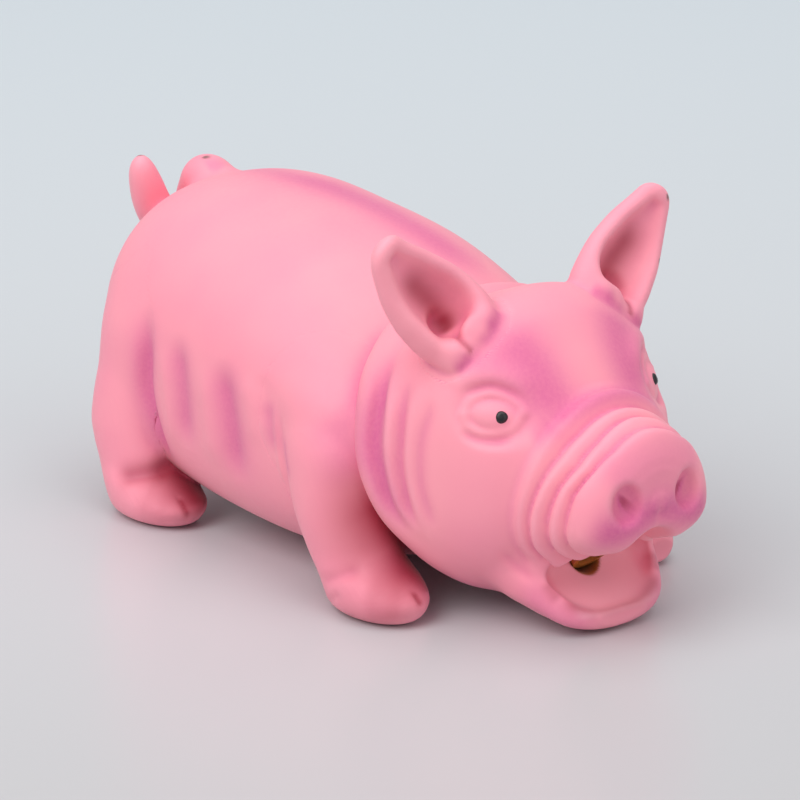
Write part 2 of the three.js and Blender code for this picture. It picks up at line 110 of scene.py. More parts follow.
class Block:
    def __init__(self, low, counts, step):
        self.low, self.shape, self.step = np.array(low, float), tuple(counts), step
        axes = [a + step * np.arange(n) for a, n in zip(low, counts)]
        self.x = axes[0][:, None, None].astype(np.float32)
        self.y = axes[1][None, :, None].astype(np.float32)
        self.z = axes[2][None, None, :].astype(np.float32)

    @classmethod
    def spanning(cls, low, high, step):
        step = step * fine
        return cls(low, [int(math.ceil((b - a) / step)) + 1 for a, b in zip(low, high)], step)

    def part(self, low, high):  # a smaller block on the same voxels, and where it lies in this one
        cuts = []
        for a, b, start, n in zip(low, high, self.low, self.shape):
            first = max(int(math.floor((a - start) / self.step)), 0)
            cuts.append(slice(first, min(int(math.ceil((b - start) / self.step)) + 1, n)))
        corner = [start + self.step * cut.start for start, cut in zip(self.low, cuts)]
        return Block(corner, [cut.stop - cut.start for cut in cuts], self.step), tuple(cuts)

    def folded(self):  # the same voxels, with the left half seen as the right
        twin = Block(self.low, self.shape, self.step)
        twin.x = -np.abs(self.x)
        return twin

    def exact(self, field, reach=12.0):  # true distances from a form's surface, as far as reach
        rim = int(math.ceil(reach / self.step)) + 2
        cuts = []
        for axis in range(3):
            others = tuple(i for i in range(3) if i != axis)
            filled = np.nonzero((field < 0).any(axis=others))[0]
            cuts.append(slice(max(filled[0] - rim, 0), min(filled[-1] + rim + 1, self.shape[axis])))
        cuts = tuple(cuts)
        points, quads = surface(np.pad(field[cuts], 1, constant_values=self.step), self.step)
        scale = openvdb.createLinearTransform(self.step)
        level = openvdb.FloatGrid.createLevelSetFromPolygons(
            points, quads=quads, transform=scale, halfWidth=reach / self.step)
        near = np.empty([cut.stop - cut.start for cut in cuts], np.float32)
        level.copyToArray(near, ijk=(1, 1, 1))
        result = np.full(self.shape, reach, np.float32)
        result[cuts] = near
        return result


def surface(field, step):
    grid = openvdb.FloatGrid(float(field.max()))
    grid.copyFromArray(np.ascontiguousarray(field, np.float32))
    grid.transform = openvdb.createLinearTransform(step)
    return grid.convertToQuads(0.0)


def smoothTable(rows, steps=24):  # a smooth curve through rows of numbers
    p = np.array(rows, float)
    slope = np.empty_like(p)
    slope[1:-1] = (p[2:] - p[:-2]) / 2
    slope[0] = 1.5 * (p[1] - p[0]) - slope[1] / 2
    slope[-1] = 1.5 * (p[-1] - p[-2]) - slope[-2] / 2
    t = np.linspace(0, 1, steps, endpoint=False)[None, :, None]
    a, b = p[:-1, None], p[1:, None]
    ma, mb = slope[:-1, None], slope[1:, None]
    curve = (2 * t**3 - 3 * t**2 + 1) * a + (t**3 - 2 * t**2 + t) * ma
    curve = curve + (3 * t**2 - 2 * t**3) * b + (t**3 - t**2) * mb
    return np.vstack([curve.reshape(-1, p.shape[1]), p[-1:]])


def smoothMin(a, b, reach):
    h = np.clip(0.5 + 0.5 * (b - a) / reach, 0, 1)
    return b + (a - b) * h - reach * h * (1 - h)


def smoothMax(a, b, reach):
    return -smoothMin(-a, -b, reach)


def smoothStep(value, start, end):
    t = np.clip((value - start) / (end - start), 0, 1)
    return t * t * (3 - 2 * t)


def ended(level, along, first, last):  # a level that stops at a form's first and last row
    return np.maximum(level, np.maximum(first - along, along - last))


def trunkForm(block, rows, fullness):  # rows along y: y, half width, bottom, widest level, top
    table = smoothTable(rows)
    half, bottom, widest, top = (
        np.interp(block.y, table[:, 0], table[:, i]).astype(np.float32) for i in range(1, 5)
    )
    over = block.z - widest
    upper = over > 0
    power = np.where(upper, fullness[0], fullness[1]).astype(np.float32)
    rise = (np.abs(over) / np.where(upper, top - widest, widest - bottom)) ** power
    across = np.abs(block.x) / half
    level = np.where(upper, across ** fullness[0], across ** fullness[1]) + rise
    level = (level ** (1 / power) - 1) * half
    return block.exact(ended(level, block.y, table[0, 0], table[-1, 0]))


def stackForm(block, along, rows, across, deep, reach=12.0):  # rows: level, two offsets, two half sizes
    table = smoothTable(rows)
    u, v, halfU, halfV = (
        np.interp(along, table[:, 0], table[:, i]).astype(np.float32) for i in range(1, 5)
    )
    level = (np.hypot((across - u) / halfU, (deep - v) / halfV) - 1) * np.minimum(halfU, halfV)
    level = np.broadcast_to(ended(level, along, table[0, 0], table[-1, 0]), block.shape)
    return block.exact(level, reach)


def ellipsoid(block, centre, radii, axes=np.eye(3)):
    offset = [block.x - centre[0], block.y - centre[1], block.z - centre[2]]
    local = [sum(offset[i] * axis[i] for i in range(3)) for axis in axes]
    near = np.sqrt(sum((v / r) ** 2 for v, r in zip(local, radii)))
    slope = np.sqrt(sum((v / (r * r)) ** 2 for v, r in zip(local, radii)))
    return near * (near - 1) / np.maximum(slope, 1e-5)


def tube(block, path, steps=24):  # a chain of balls along a path: x, y, z, radius
    best = np.full(block.shape, 1e3, np.float32)
    for x, y, z, radius in smoothTable(path, steps):
        distance = np.sqrt((block.x - x) ** 2 + (block.y - y) ** 2 + (block.z - z) ** 2) - radius
        np.minimum(best, distance, out=best)
    return best


class Skin:  # a closed surface of quads, with its normals and painted values
    def __init__(self, field, block):
        points, quads = surface(field, block.step)
        self.points = points.astype(float) + block.low
        self.quads = quads.astype(np.int64)
        self.values = {}
        self.findNormals()

    def findNormals(self):
        a, b, c, d = (self.points[self.quads[:, i]] for i in range(4))
        face = np.cross(c - a, d - b)
        total = np.zeros_like(self.points)
        for i in range(4):
            for axis in range(3):
                total[:, axis] += np.bincount(self.quads[:, i], face[:, axis], len(self.points))
        self.normals = total / np.maximum(np.linalg.norm(total, axis=1, keepdims=True), 1e-9)

    def neighbourMean(self, values):
        total = np.zeros(len(values))
        count = np.zeros(len(values))
        for i in range(4):
            a, b = self.quads[:, i], self.quads[:, (i + 1) % 4]
            total += np.bincount(a, values[b], len(values))
            count += np.bincount(a, minlength=len(values))
        return total / np.maximum(count, 1)

    def folded(self):  # the right side's coordinates, for marks that both sides carry
        points = self.points.copy()
        points[:, 0] = -np.abs(points[:, 0])
        return points

    def near(self, path, width, blunt=0.3, both=True):  # 1 on a path, falling to 0 beside it
        points = self.folded() if both else self.points
        curve = smoothTable(path, 16)[:, :3]
        if both and curve[:, 0].min() > 0:  # drawn on the left side
            curve[:, 0] *= -1
        weight = np.zeros(len(points))
        reach = 2.6 * width  # past this a stroke leaves nothing
        inside = np.all((points > curve.min(0) - reach) & (points < curve.max(0) + reach), axis=1)
        chosen = np.nonzero(inside)[0]
        if not len(chosen):
            return weight
        nearest = np.full(len(chosen), 1e9)
        place = np.zeros(len(chosen))
        count = len(curve) - 1
        for i in range(count):
            start, step = curve[i], curve[i + 1] - curve[i]
            offset = points[chosen] - start
            t = np.clip(offset @ step / max(step @ step, 1e-9), 0, 1)
            gap = np.linalg.norm(offset - t[:, None] * step, axis=1)
            closer = gap < nearest
            nearest[closer] = gap[closer]
            place[closer] = (i + t[closer]) / count
        ends = smoothStep(np.minimum(place, 1 - place), 0, blunt)
        weight[chosen] = np.exp(-(nearest / width) ** 2) * ends
        return weight

    def push(self, marks):  # ridges and creases: (path, width, rise)
        amount = np.zeros(len(self.points))
        for path, width, rise in marks:
            amount += rise * self.near(path, width)
        self.points += self.normals * amount[:, None]
        self.findNormals()

    def hollows(self, rounds):  # how sunken each point is, about -1 to 1
        bend = np.zeros(len(self.points))
        for axis in range(3):
            mean = self.neighbourMean(self.points[:, axis])
            bend += (mean - self.points[:, axis]) * self.normals[:, axis]
        edges = self.points[self.quads[:, 0]] - self.points[self.quads[:, 1]]
        bend = bend / np.linalg.norm(edges, axis=1).mean() ** 2
        for _ in range(rounds):
            bend = self.neighbourMean(bend)
        return bend

    def build(self, name, material):
        mesh = bpy.data.meshes.new(name)
        mesh.vertices.add(len(self.points))
        mesh.vertices.foreach_set("co", (self.points * mm).astype(np.float32).ravel())
        mesh.loops.add(self.quads.size)
        mesh.loops.foreach_set("vertex_index", self.quads.astype(np.int32).ravel())
        mesh.polygons.add(len(self.quads))
        mesh.polygons.foreach_set("loop_start", np.arange(0, self.quads.size, 4, dtype=np.int32))
        mesh.update(calc_edges=True)
        mesh.polygons.foreach_set("use_smooth", np.ones(len(self.quads), bool))
        for label, values in self.values.items():
            attribute = mesh.attributes.new(label, "FLOAT", "POINT")
            attribute.data.foreach_set("value", np.clip(values, 0, 1).astype(np.float32))
        mesh.materials.append(material)
        piece = bpy.data.objects.new(name, mesh)
        bpy.context.scene.collection.objects.link(piece)
        print("  ", name, len(self.quads), "quads")
        return piece


# Materials

def rgb(red, green, blue):  # screen colour 0-255 to a linear colour
    def linear(c):
        c = c / 255
        return c / 12.92 if c <= 0.04045 else ((c + 0.055) / 1.055) ** 2.4
    return (linear(red), linear(green), linear(blue), 1)


def freshMaterial(name):
    material = bpy.data.materials.new(name)
    material.use_nodes = True
    tree = material.node_tree
    return material, tree.nodes, tree.links, tree.nodes["Principled BSDF"]


def noiseNode(nodes, links, scale, detail=3.0, rough=0.5):
    place = nodes.new("ShaderNodeTexCoord")
    noise = nodes.new("ShaderNodeTexNoise")
    noise.inputs["Scale"].default_value = scale
    noise.inputs["Detail"].default_value = detail
    noise.inputs["Roughness"].default_value = rough
    links.new(place.outputs["Object"], noise.inputs["Vector"])
    return noise.outputs["Fac"]


def rangeNode(nodes, links, value, fromLow, fromHigh, toLow, toHigh):
    node = nodes.new("ShaderNodeMapRange")
    node.inputs["From Min"].default_value = fromLow
    node.inputs["From Max"].default_value = fromHigh
    node.inputs["To Min"].default_value = toLow
    node.inputs["To Max"].default_value = toHigh
    links.new(value, node.inputs["Value"])
    return node.outputs["Result"]


def productNode(nodes, links, a, b):
    node = nodes.new("ShaderNodeMath")
    node.operation = "MULTIPLY"
    node.use_clamp = True
    links.new(a, node.inputs[0])
    links.new(b, node.inputs[1])
    return node.outputs[0]


def mixNode(nodes, links, factor, under, over):
    node = nodes.new("ShaderNodeMix")
    node.data_type = "RGBA"
    links.new(factor, node.inputs["Factor"])
    for key, value in (("A", under), ("B", over)):
        socket = [s for s in node.inputs if s.name == key and s.type == "RGBA"][0]
        if isinstance(value, tuple):
            socket.default_value = value
        else:
            links.new(value, socket)
    return [s for s in node.outputs if s.type == "RGBA"][0]


def attributeNode(nodes, name):
    node = nodes.new("ShaderNodeAttribute")
    node.attribute_name = name
    return node.outputs["Fac"]


def bumpNode(nodes, links, height, strength, distance, shader):
    bump = nodes.new("ShaderNodeBump")
    bump.inputs["Strength"].default_value = strength
    bump.inputs["Distance"].default_value = distance
    links.new(height, bump.inputs["Height"])
    links.new(bump.outputs["Normal"], shader.inputs["Normal"])


latexLook = {
    "pink": rgb(249, 150, 170),
    "pinkWarm": rgb(252, 158, 173),
    "magenta": rgb(210, 86, 146),
    # painted shade colour: deep red for skin in shadow and in recesses
    "shadeRed": rgb(152, 18, 46),
    # the painted highlight colour
    "pale": rgb(255, 176, 190),
    "bare": (rgb(190, 116, 50), rgb(150, 84, 32)),  # unpainted latex in the throat
    "chip": rgb(112, 84, 76),
    "roughness": (0.46, 0.62),
    "sheen": 0.12, "specular": 0.35,
    "cloud": 26, "speck": 520, "mist": 900,  # scales: mottling, the skin's grain, the spray's grain
    "bump": (0.05, 0.0004),
}


def latexPaint():
    material, nodes, links, shader = freshMaterial("latexPaint")
    look = latexLook
    cloud = rangeNode(nodes, links, noiseNode(nodes, links, look["cloud"], 2), 0.35, 0.65, 0, 1)
    speck = noiseNode(nodes, links, look["speck"], 3, 0.6)
    mist = rangeNode(nodes, links, noiseNode(nodes, links, look["mist"], 2), 0.3, 0.7, 0.9, 1.06)
    # the airbrush layer, which also carries painted shade in creases, under the chin and behind the
    # collar
    sprayed = productNode(nodes, links, attributeNode(nodes, "airbrushAndShade"), mist)
    bare = mixNode(nodes, links, cloud, *look["bare"])
    colour = mixNode(nodes, links, cloud, look["pink"], look["pinkWarm"])
    # painted highlight on crests and painted light on the mouth's floor, in pale pink
    colour = mixNode(nodes, links, attributeNode(nodes, "crest"), colour, look["pale"])
    colour = mixNode(nodes, links, sprayed, colour, look["magenta"])
    # painted shade: deep red where the skin lies in shadow or in a recess
    colour = mixNode(nodes, links, attributeNode(nodes, "shadeLayer"), colour, look["shadeRed"])
    colour = mixNode(nodes, links, attributeNode(nodes, "bare"), colour, bare)
    colour = mixNode(nodes, links, attributeNode(nodes, "chip"), colour, look["chip"])
    links.new(colour, shader.inputs["Base Color"])
    links.new(rangeNode(nodes, links, speck, 0.3, 0.7, *look["roughness"]), shader.inputs["Roughness"])
    shader.inputs["Sheen Weight"].default_value = look["sheen"]
    shader.inputs["Specular IOR Level"].default_value = look["specular"]
    bumpNode(nodes, links, speck, *look["bump"], shader)
    return material


# Body forms, close to the part's own rows

skin = latexPaint()
trunkFullness = (2.35, 2.8)
headFullness = (2.3, 2.35)
snoutFullness = (1.9, 2.4)
jawFullness = (2.35, 2.1)
mouthFullness = (2.2, 2.8)

torsoRows = [  # y, half width, bottom, widest level, top
    (-61, 6, 42, 47, 52), (-57, 28, 20, 46, 63), (-48, 42, 12, 45, 66), (-32, 48, 7, 45, 71.4),
    (-12, 51, 2.8, 46, 82.2), (13, 52.5, 2, 46, 92.4), (43, 52.5, 4.4, 46, 97), (66, 51, 9, 47, 98.8),
    (84, 47, 16, 49, 95.8), (96, 37.5, 25, 51, 87), (101.6, 24.5, 35, 53, 74.5), (104.5, 10, 47, 55, 62),
    (105.2, 2, 54, 55.5, 57),
]
headRows = [  # these and the next three as the torso's
    (-100, 5, 38, 42, 46), (-97.5, 15, 29, 42, 54), (-92.5, 22, 24.5, 42, 60), (-86, 28, 19, 42, 68),
    (-79, 34.5, 12, 42, 77), (-70, 39.5, 6.5, 42, 86.5), (-60, 44, 5, 43, 90.5), (-48, 46, 9.8, 44, 87.5),
    (-38, 43, 17.5, 45, 82), (-30, 34, 22, 45, 75), (-24, 14, 36, 47, 60),
]
snoutRows = [
    (-112.4, 1.5, 40.4, 41.5, 42.6), (-112.2, 7, 36.4, 41, 47), (-111.5, 13, 32.6, 40, 52),
    (-110.3, 17.4, 29.8, 38.6, 55.6), (-108.2, 20.6, 28, 37.4, 59.4), (-105.6, 22.6, 27, 36.6, 61),
    (-102.6, 23.2, 25.8, 36.4, 61.6), (-99, 24.2, 24.2, 36.4, 62.4), (-94.5, 25.4, 21.6, 36.8, 64),
    (-89.5, 27.6, 18.6, 38, 67.4), (-84.5, 28, 17, 38, 66.5), (-78, 25, 17, 38, 64),
]
jawRows = [
    (-98.8, 7, 2.4, 4.8, 7.4), (-97.4, 13.5, 1.2, 5.4, 9.6), (-94.5, 18.4, 0.6, 7, 13),
    (-91.5, 20.8, 0.6, 9, 18), (-88, 22.6, 0.8, 11.5, 22.5), (-84, 23.8, 1.2, 13, 23.5),
    (-76, 23.5, 3, 13, 21), (-70, 18, 5, 12, 17), (-66.5, 9, 7, 9, 11),
]
mouthRows = [
    (-103, 9, 13, 17, 22), (-99.5, 13, 8.6, 15, 23), (-96.5, 14.8, 7, 14.5, 24),
    (-92, 17, 8.8, 15.5, 25), (-88, 18.8, 11.2, 17, 25), (-85.4, 17, 13.2, 18, 24.5),
    (-83.4, 13, 15.4, 19, 24), (-82, 6, 18, 20, 22.5),
]
frontLegRows = [  # level, centre x and y, half width, half length
    (0, -44.2, -44.4, 6.5, 10.4), (0.8, -44.2, -44.4, 9.1, 14.2), (2.6, -44.2, -44.4, 11.2, 16.9),
    (6.5, -44.2, -44.4, 12.6, 18.3), (10.5, -44.2, -41.6, 12.7, 17.9), (16, -44, -35, 12, 16.6),
    (25, -44, -29.6, 12.3, 16.4), (35, -43.5, -25.7, 12.4, 16), (46, -42.8, -22.8, 12, 16),
    (57, -40.5, -19.5, 9.8, 13.4), (65, -38.5, -17, 3.5, 5.5),
]
rearLegRows = [
    (0, -45, 61.8, 6.5, 11.4), (0.8, -45, 61.8, 9.2, 15), (2.6, -45, 61.8, 11.4, 17.8),
    (6.5, -45, 61.8, 12.8, 19.4), (11, -45, 65.2, 12.7, 17.2), (16, -44.6, 70, 11.8, 15),
    (22, -44.2, 72.2, 12.2, 15.6), (30, -43.4, 73.4, 12.7, 16.2), (46, -40.8, 72, 12.2, 16.6),
    (59, -37.4, 70, 10.8, 14), (69, -34.4, 68.5, 6, 8.5), (75, -33.6, 68, 2.5, 3.5),
]
leftStep = {"inward": 2, "forward": 8, "hip": 46}  # the left front foot stands ahead
tailPath = [  # x, y, z, radius
    (0, 84, 83, 7), (0, 90, 90, 7.7), (0.2, 96.2, 92, 7.5), (0.6, 101.2, 87.6, 6.5), (-1, 104, 81, 5.8),
    (-6, 105.6, 77.6, 5.8), (-11.5, 104.6, 79.6, 6.1), (-16, 102.8, 85.5, 5.9), (-19.2, 101.2, 92, 5.2),
    (-21.2, 100.2, 97, 4), (-21.8, 99.8, 100.2, 1.9),
]
tailSoftness = 4
seamSink = 0.05  # a limb's root lies this far under the skin that it grows from
patch = {  # how far a limb's skin spreads over its parent, and how deep the parent is tucked under it
    "leg": 9.5, "lowLeg": 3, "legLevels": (26, 46), "tail": 4.5, "ear": 3,
    "tuck": 0.5, "earTuck": 1.4, "tuckEdge": (0.6, 2.4),
}

# Folds, drawn on the right side in the picture and carried by both sides: pixels, width, rise

flankStrokes = {
    "thigh": ([(148, 300), (145, 344), (145, 386), (153, 424), (163, 449), (172, 462)], 3.4, -2.6),
    "rearFlank": ([(177, 330), (180, 372), (184, 412), (189, 452)], 3.8, -1.2),
    "midFlank": ([(220, 356), (226, 400), (233, 444), (241, 486)], 4.4, -1.6),
    "foreFlank": ([(262, 372), (264, 400), (268, 430)], 3.2, -0.5),
    "elbowRidge": ([(275, 398), (277, 428), (281, 462), (287, 488)], 1.3, 0.8),
    "rearRib": ([(162, 340), (165, 380), (170, 420), (176, 450)], 3.2, 0.8),
    "midRib": ([(203, 360), (206, 400), (211, 440), (216, 470)], 4.2, 0.8),
    "foreRib": ([(246, 372), (250, 410), (256, 450)], 3.8, 0.6),
}
frontFootStrokes = {
    "ankle": ([(316, 584), (331, 579), (347, 574), (366, 568)], 1.9, -1.0),
    "heel": ([(328, 603), (334, 598), (341, 594)], 1.1, -0.5),
}
rearFootStrokes = {
    "ankle": ([(112, 479), (128, 477), (145, 474), (162, 470), (176, 467)], 2.4, -1.3),
}
frontCleft = [(411, 590), (415, 596), (419, 602), (421, 608)]
rearCleft = [(178, 497), (182, 503), (186, 511), (189, 519)]
cleft = {"radius": 0.5, "edge": 0.5}
neckStrokes = {
    "band": ([(398, 345), (386, 369), (379, 396), (374, 422), (373, 449),
              (379, 476), (387, 499), (402, 521), (418, 538)], 2.8, -1.7),
    "second": ([(402, 358), (394, 378), (391, 414), (389, 446),
                (391, 474), (398, 503), (411, 524), (424, 540)], 2.0, 1.4),
    "crease": ([(412, 372), (405, 396), (401, 435), (400, 460),
                (404, 489), (412, 514), (424, 533)], 1.7, -0.9),
    "third": ([(421, 378), (416, 396), (409, 435), (409, 474),
               (416, 506), (427, 535), (439, 553)], 2.0, 0.7),
    "faint": ([(432, 396), (429, 414), (421, 446), (421, 485), (429, 514), (436, 531)], 1.8, -0.6),
}
faceStrokes = {
    "brow": ([(446, 390), (455, 381), (470, 375), (488, 373),
              (508, 377), (526, 386), (541, 399)], 3.4, 0.9),
    "upperCrease": ([(461, 399), (470, 391), (487, 387), (498, 388),
                     (508, 392), (519, 399), (527, 409)], 1.5, -0.9),
    "lowerCrease": ([(460, 428), (466, 434), (475, 439), (485, 441),
                     (496, 442), (507, 440), (517, 436)], 1.4, -0.8),
    "jowl": ([(500, 545), (511, 562), (526, 575), (543, 580)], 1.8, -0.6),
}


def listed(*drawn):  # the strokes of one or more dictionaries
    return [stroke for strokes in drawn for stroke in strokes.values()]


# Torso and legs

bodyRoom = ((-66, -68, -4), (66, 116, 108))  # corners of the block of voxels
tailRoom = ((-34, 72, 62), (16, 116, 108))
bodyStep = 0.88  # size of a voxel
roomAround = 12  # a leg, in its own block
bodyBlock = Block.spanning(*bodyRoom, bodyStep)
torsoField = trunkForm(bodyBlock, torsoRows, trunkFullness)
torsoShape = Skin(torsoField, bodyBlock)
print("torso", len(torsoShape.quads), "quads")


class Leg:  # softness: how broadly the limb joins the body, low down and at the top
    def __init__(self, rows, side, softness):
        rows = [(z, -x * side, y, halfWidth, halfLength) for z, x, y, halfWidth, halfLength in rows]
        xs = [r[1] + r[3] * s for r in rows for s in (-1, 1)]
        ys = [r[2] + r[4] * s for r in rows for s in (-1, 1)]
        low = (min(xs) - roomAround, min(ys) - roomAround, -3)
        high = (max(xs) + roomAround, max(ys) + roomAround, rows[-1][0] + roomAround)
        self.block, self.place = bodyBlock.part(low, high)
        self.limb = stackForm(self.block, self.block.z, rows, self.block.x, self.block.y)
        rise = smoothStep(self.block.z, *patch["legLevels"])
        self.sheet = self.limb - (patch["lowLeg"] + (patch["leg"] - patch["lowLeg"]) * rise)
        self.softness = softness

    def skin(self, split=None):  # split: the path of the cleft between the toes
        limb = self.limb
        if split:
            groove = tube(self.block.folded(), [(*p, cleft["radius"]) for p in split])
            limb = smoothMax(limb, -groove, cleft["edge"])
        low, high, start, end = self.softness
        reach = low + (high - low) * smoothStep(self.block.z, start, end)
        whole = smoothMin(torsoField[self.place] + seamSink, limb, reach)
        return Skin(np.maximum(whole, self.sheet), self.block)


def tuckUnder(shape, field, block, edge, tuck):  # sinks a skin where a limb's own skin covers it
    index = np.rint((shape.points - block.low) / block.step).astype(int)
    inside = np.all((index >= 0) & (index < block.shape), axis=1)
    depth = np.zeros(len(shape.points))
    depth[inside] = edge - field[tuple(index[inside].T)]
    amount = tuck * smoothStep(depth, *patch["tuckEdge"])
    shape.points -= shape.normals * amount[:, None]


def stepped(path):  # from the right front leg to the left one, which stands ahead
    moved = []
    for x, y, z in path:
        share = max(1 - z / leftStep["hip"], 0)
        moved.append((x + leftStep["inward"] * share, y - leftStep["forward"] * share, z))
    return moved


steppedRows = []
for z, x, y, halfWidth, halfLength in frontLegRows:
    (x, y, z), = stepped([(x, y, z)])
    steppedRows.append((z, x, y, halfWidth, halfLength))

frontSoftness = (1.6, 9, 44, 62)  # low down, at the top, and the levels between them
rearSoftness = (1.8, 9, 34, 60)
rightFront, rightRear = Leg(frontLegRows, -1, frontSoftness), Leg(rearLegRows, -1, rearSoftness)
leftFront, leftRear = Leg(steppedRows, 1, frontSoftness), Leg(rearLegRows, 1, rearSoftness)
body = Tracer(torsoShape, rightFront.skin(), rightRear.skin())
flankFolds = body.draw(flankStrokes)
frontFootFolds = body.draw(frontFootStrokes)
rearFootFolds = body.draw(rearFootStrokes)
frontSplit, rearSplit = body.find(frontCleft), body.find(rearCleft)
leftFootFolds = {
    name: (stepped(path), width, rise) for name, (path, width, rise) in frontFootFolds.items()
}
legShapes = {
    "right_front_leg": rightFront.skin(frontSplit),
    "left_front_leg": leftFront.skin(stepped(frontSplit)),
    "right_rear_leg": rightRear.skin(rearSplit),
    "left_rear_leg": leftRear.skin(rearSplit),
}
footFolds = {
    "right_front_leg": frontFootFolds, "left_front_leg": leftFootFolds,
    "right_rear_leg": rearFootFolds, "left_rear_leg": rearFootFolds,
}
torsoShape.push(listed(flankFolds))
for name, shape in legShapes.items():
    shape.push(listed(flankFolds, footFolds[name]))
for leg in (rightFront, rightRear, leftFront, leftRear):
    tuckUnder(torsoShape, leg.sheet, leg.block, 0, patch["tuck"])
print("legs")


def tailSkin():
    block, place = bodyBlock.part(*tailRoom)
    limb = tube(block, tailPath)
    whole = smoothMin(torsoField[place] + seamSink, limb, tailSoftness)
    tuckUnder(torsoShape, limb, block, patch["tail"], patch["tuck"])
    return Skin(np.maximum(whole, limb - patch["tail"]), block)


tailShape = tailSkin()
print("tail")

# Head

collar = {  # the outer neck fold, along its crest
    "crest": [(0, -31, 82.5), (-14, -30.5, 81.5), (-26, -31.5, 78), (-37, -35, 70), (-42.8, -38, 61.5),
              (-46, -41, 50), (-46.3, -43.8, 41.4), (-43.6, -48.6, 31.4), (-39, -54.6, 24.2),
              (-32.5, -58.5, 17.4), (-19.5, -62, 10), (0, -63, 8)],
    "radius": 5.2, "sink": 3.6, "forward": 0.5, "axis": 45,
}
muzzle = {  # where each rolled wrinkle crests, by angle round the muzzle from the top
    "axis": 40,
    "angles": (0, 35, 57, 77, 97, 117, 140, 180),
    "crests": (
        (-91.5, -91.4, -90.3, -89, -87.3, -86.5, -87, -88),
        (-97, -97, -95.9, -93.8, -92, -91, -91.5, -92),
        (-101.5, -102.8, -102.2, -99.1, -97.6, -96.8, -95.5, -95),
        (-108.4, -108.4, -106.5, -104, -103.3, -102, -100.5, -100),
    ),
    "rise": (2.1, 2.1, 2.2, 2.2, 2.1, 2, 1.6, 0.9),
    "sharp": 0.02,  # the smaller, the crisper the valleys
    "fade": 8, "level": 0.6,
}
eye = {
    "place": (-28.9, -76.9, 63), "facing": (-0.64, -0.67, 0.37), "along": (0.68, -0.73, -0.12),
    "ball": (7.6, 4.8, 3.6), "sunk": 2.0, "socket": (12, 8.5, 4.5), "socketOut": 3.2,
}
lids = {  # pixels, radius, how far its middle line lies under the skin, softness
    "upper": ([(465, 414), (469, 404), (477, 397), (490, 393),
               (504, 396), (515, 402), (523, 413)], 1.5, 0.6, 1.2),
    "lower": ([(465, 415), (467, 424), (475, 431), (487, 434),
               (504, 432), (514, 427), (523, 414)], 1.4, 0.6, 1.2),
}
mouthRoof = [  # x, y, z, radius
    (0, -95.5, 20, 8.2), (0, -101, 22, 9.4), (0, -108, 23.4, 9.8), (0, -116, 24, 9.8),
]
nostril = {"place": (-11.2, -111.8, 42.8), "radii": (4.6, 3.3, 5.4)}
throat = {"place": (0, -84, 18.2), "tilt": -10, "radius": 5.2, "front": -4, "deep": 9}
headStep = 0.66  # size of a voxel
headSoftness = {  # how softly each form joins the head
    "collar": 5, "socket": 3, "snout": 2.5, "jaw": 8, "eyeball": 0.7, "nostril": 2.4,
    "mouthRoof": 4, "lip": 2.6, "throat": 0.8,
}
headRooms = {  # corners of the blocks of voxels
    "head": ((-62, -117, -3), (62, -17, 114)),
    "neck": ((-56, -76, 0), (56, -20, 92)), "eyes": ((-48, -95, 44), (48, -60, 82)),
    "nose": ((-40, -117, 4), (40, -70, 76)), "chin": ((-36, -112, -3), (36, -54, 36)),
    "mouth": ((-34, -117, 0), (34, -66, 44)), "ear": ((-62, -80, 62), (-6, -42, 114)),
}


def eyeAxes():
    facing = np.array(eye["facing"]) / np.linalg.norm(eye["facing"])
    along = np.array(eye["along"]) - facing * np.dot(eye["along"], facing)
    along /= np.linalg.norm(along)
    return along, np.cross(facing, along), facing


def muzzleRolls(block):
    angle = np.degrees(np.arctan2(np.abs(block.x), block.z - muzzle["axis"]))
    angle = np.broadcast_to(angle, block.shape)
    crests = [np.interp(angle, muzzle["angles"], ys).astype(np.float32) for ys in muzzle["crests"]]
    phase = -np.clip((block.y - crests[0]) / muzzle["fade"], 0, 1)
    for back, front in zip(crests, crests[1:]):
        phase = phase + np.clip((back - block.y) / (back - front), 0, 1)
    rise = np.interp(angle, muzzle["angles"], muzzle["rise"]).astype(np.float32)
    wave = np.sqrt(np.cos(np.pi * phase) ** 2 + muzzle["sharp"]) - muzzle["level"]
    return rise * wave * smoothStep(phase, -0.9, -0.2)


def collarPath():
    path = []
    for x, y, z in collar["crest"]:
        shrink = 1 - collar["sink"] / math.hypot(x, z - collar["axis"])
        path.append((x * shrink, y - collar["forward"],
                     collar["axis"] + (z - collar["axis"]) * shrink, collar["radius"]))
    return path


def throatHole(x, y, z):  # distance out from the throat hole's axis, and depth along it
    slope = math.radians(throat["tilt"])
    x0, y0, z0 = throat["place"]
    depth = (y - y0) * math.cos(slope) + (z - z0) * math.sin(slope)
    side = (z - z0) * math.cos(slope) - (y - y0) * math.sin(slope)
    return np.hypot(x - x0, side), depth


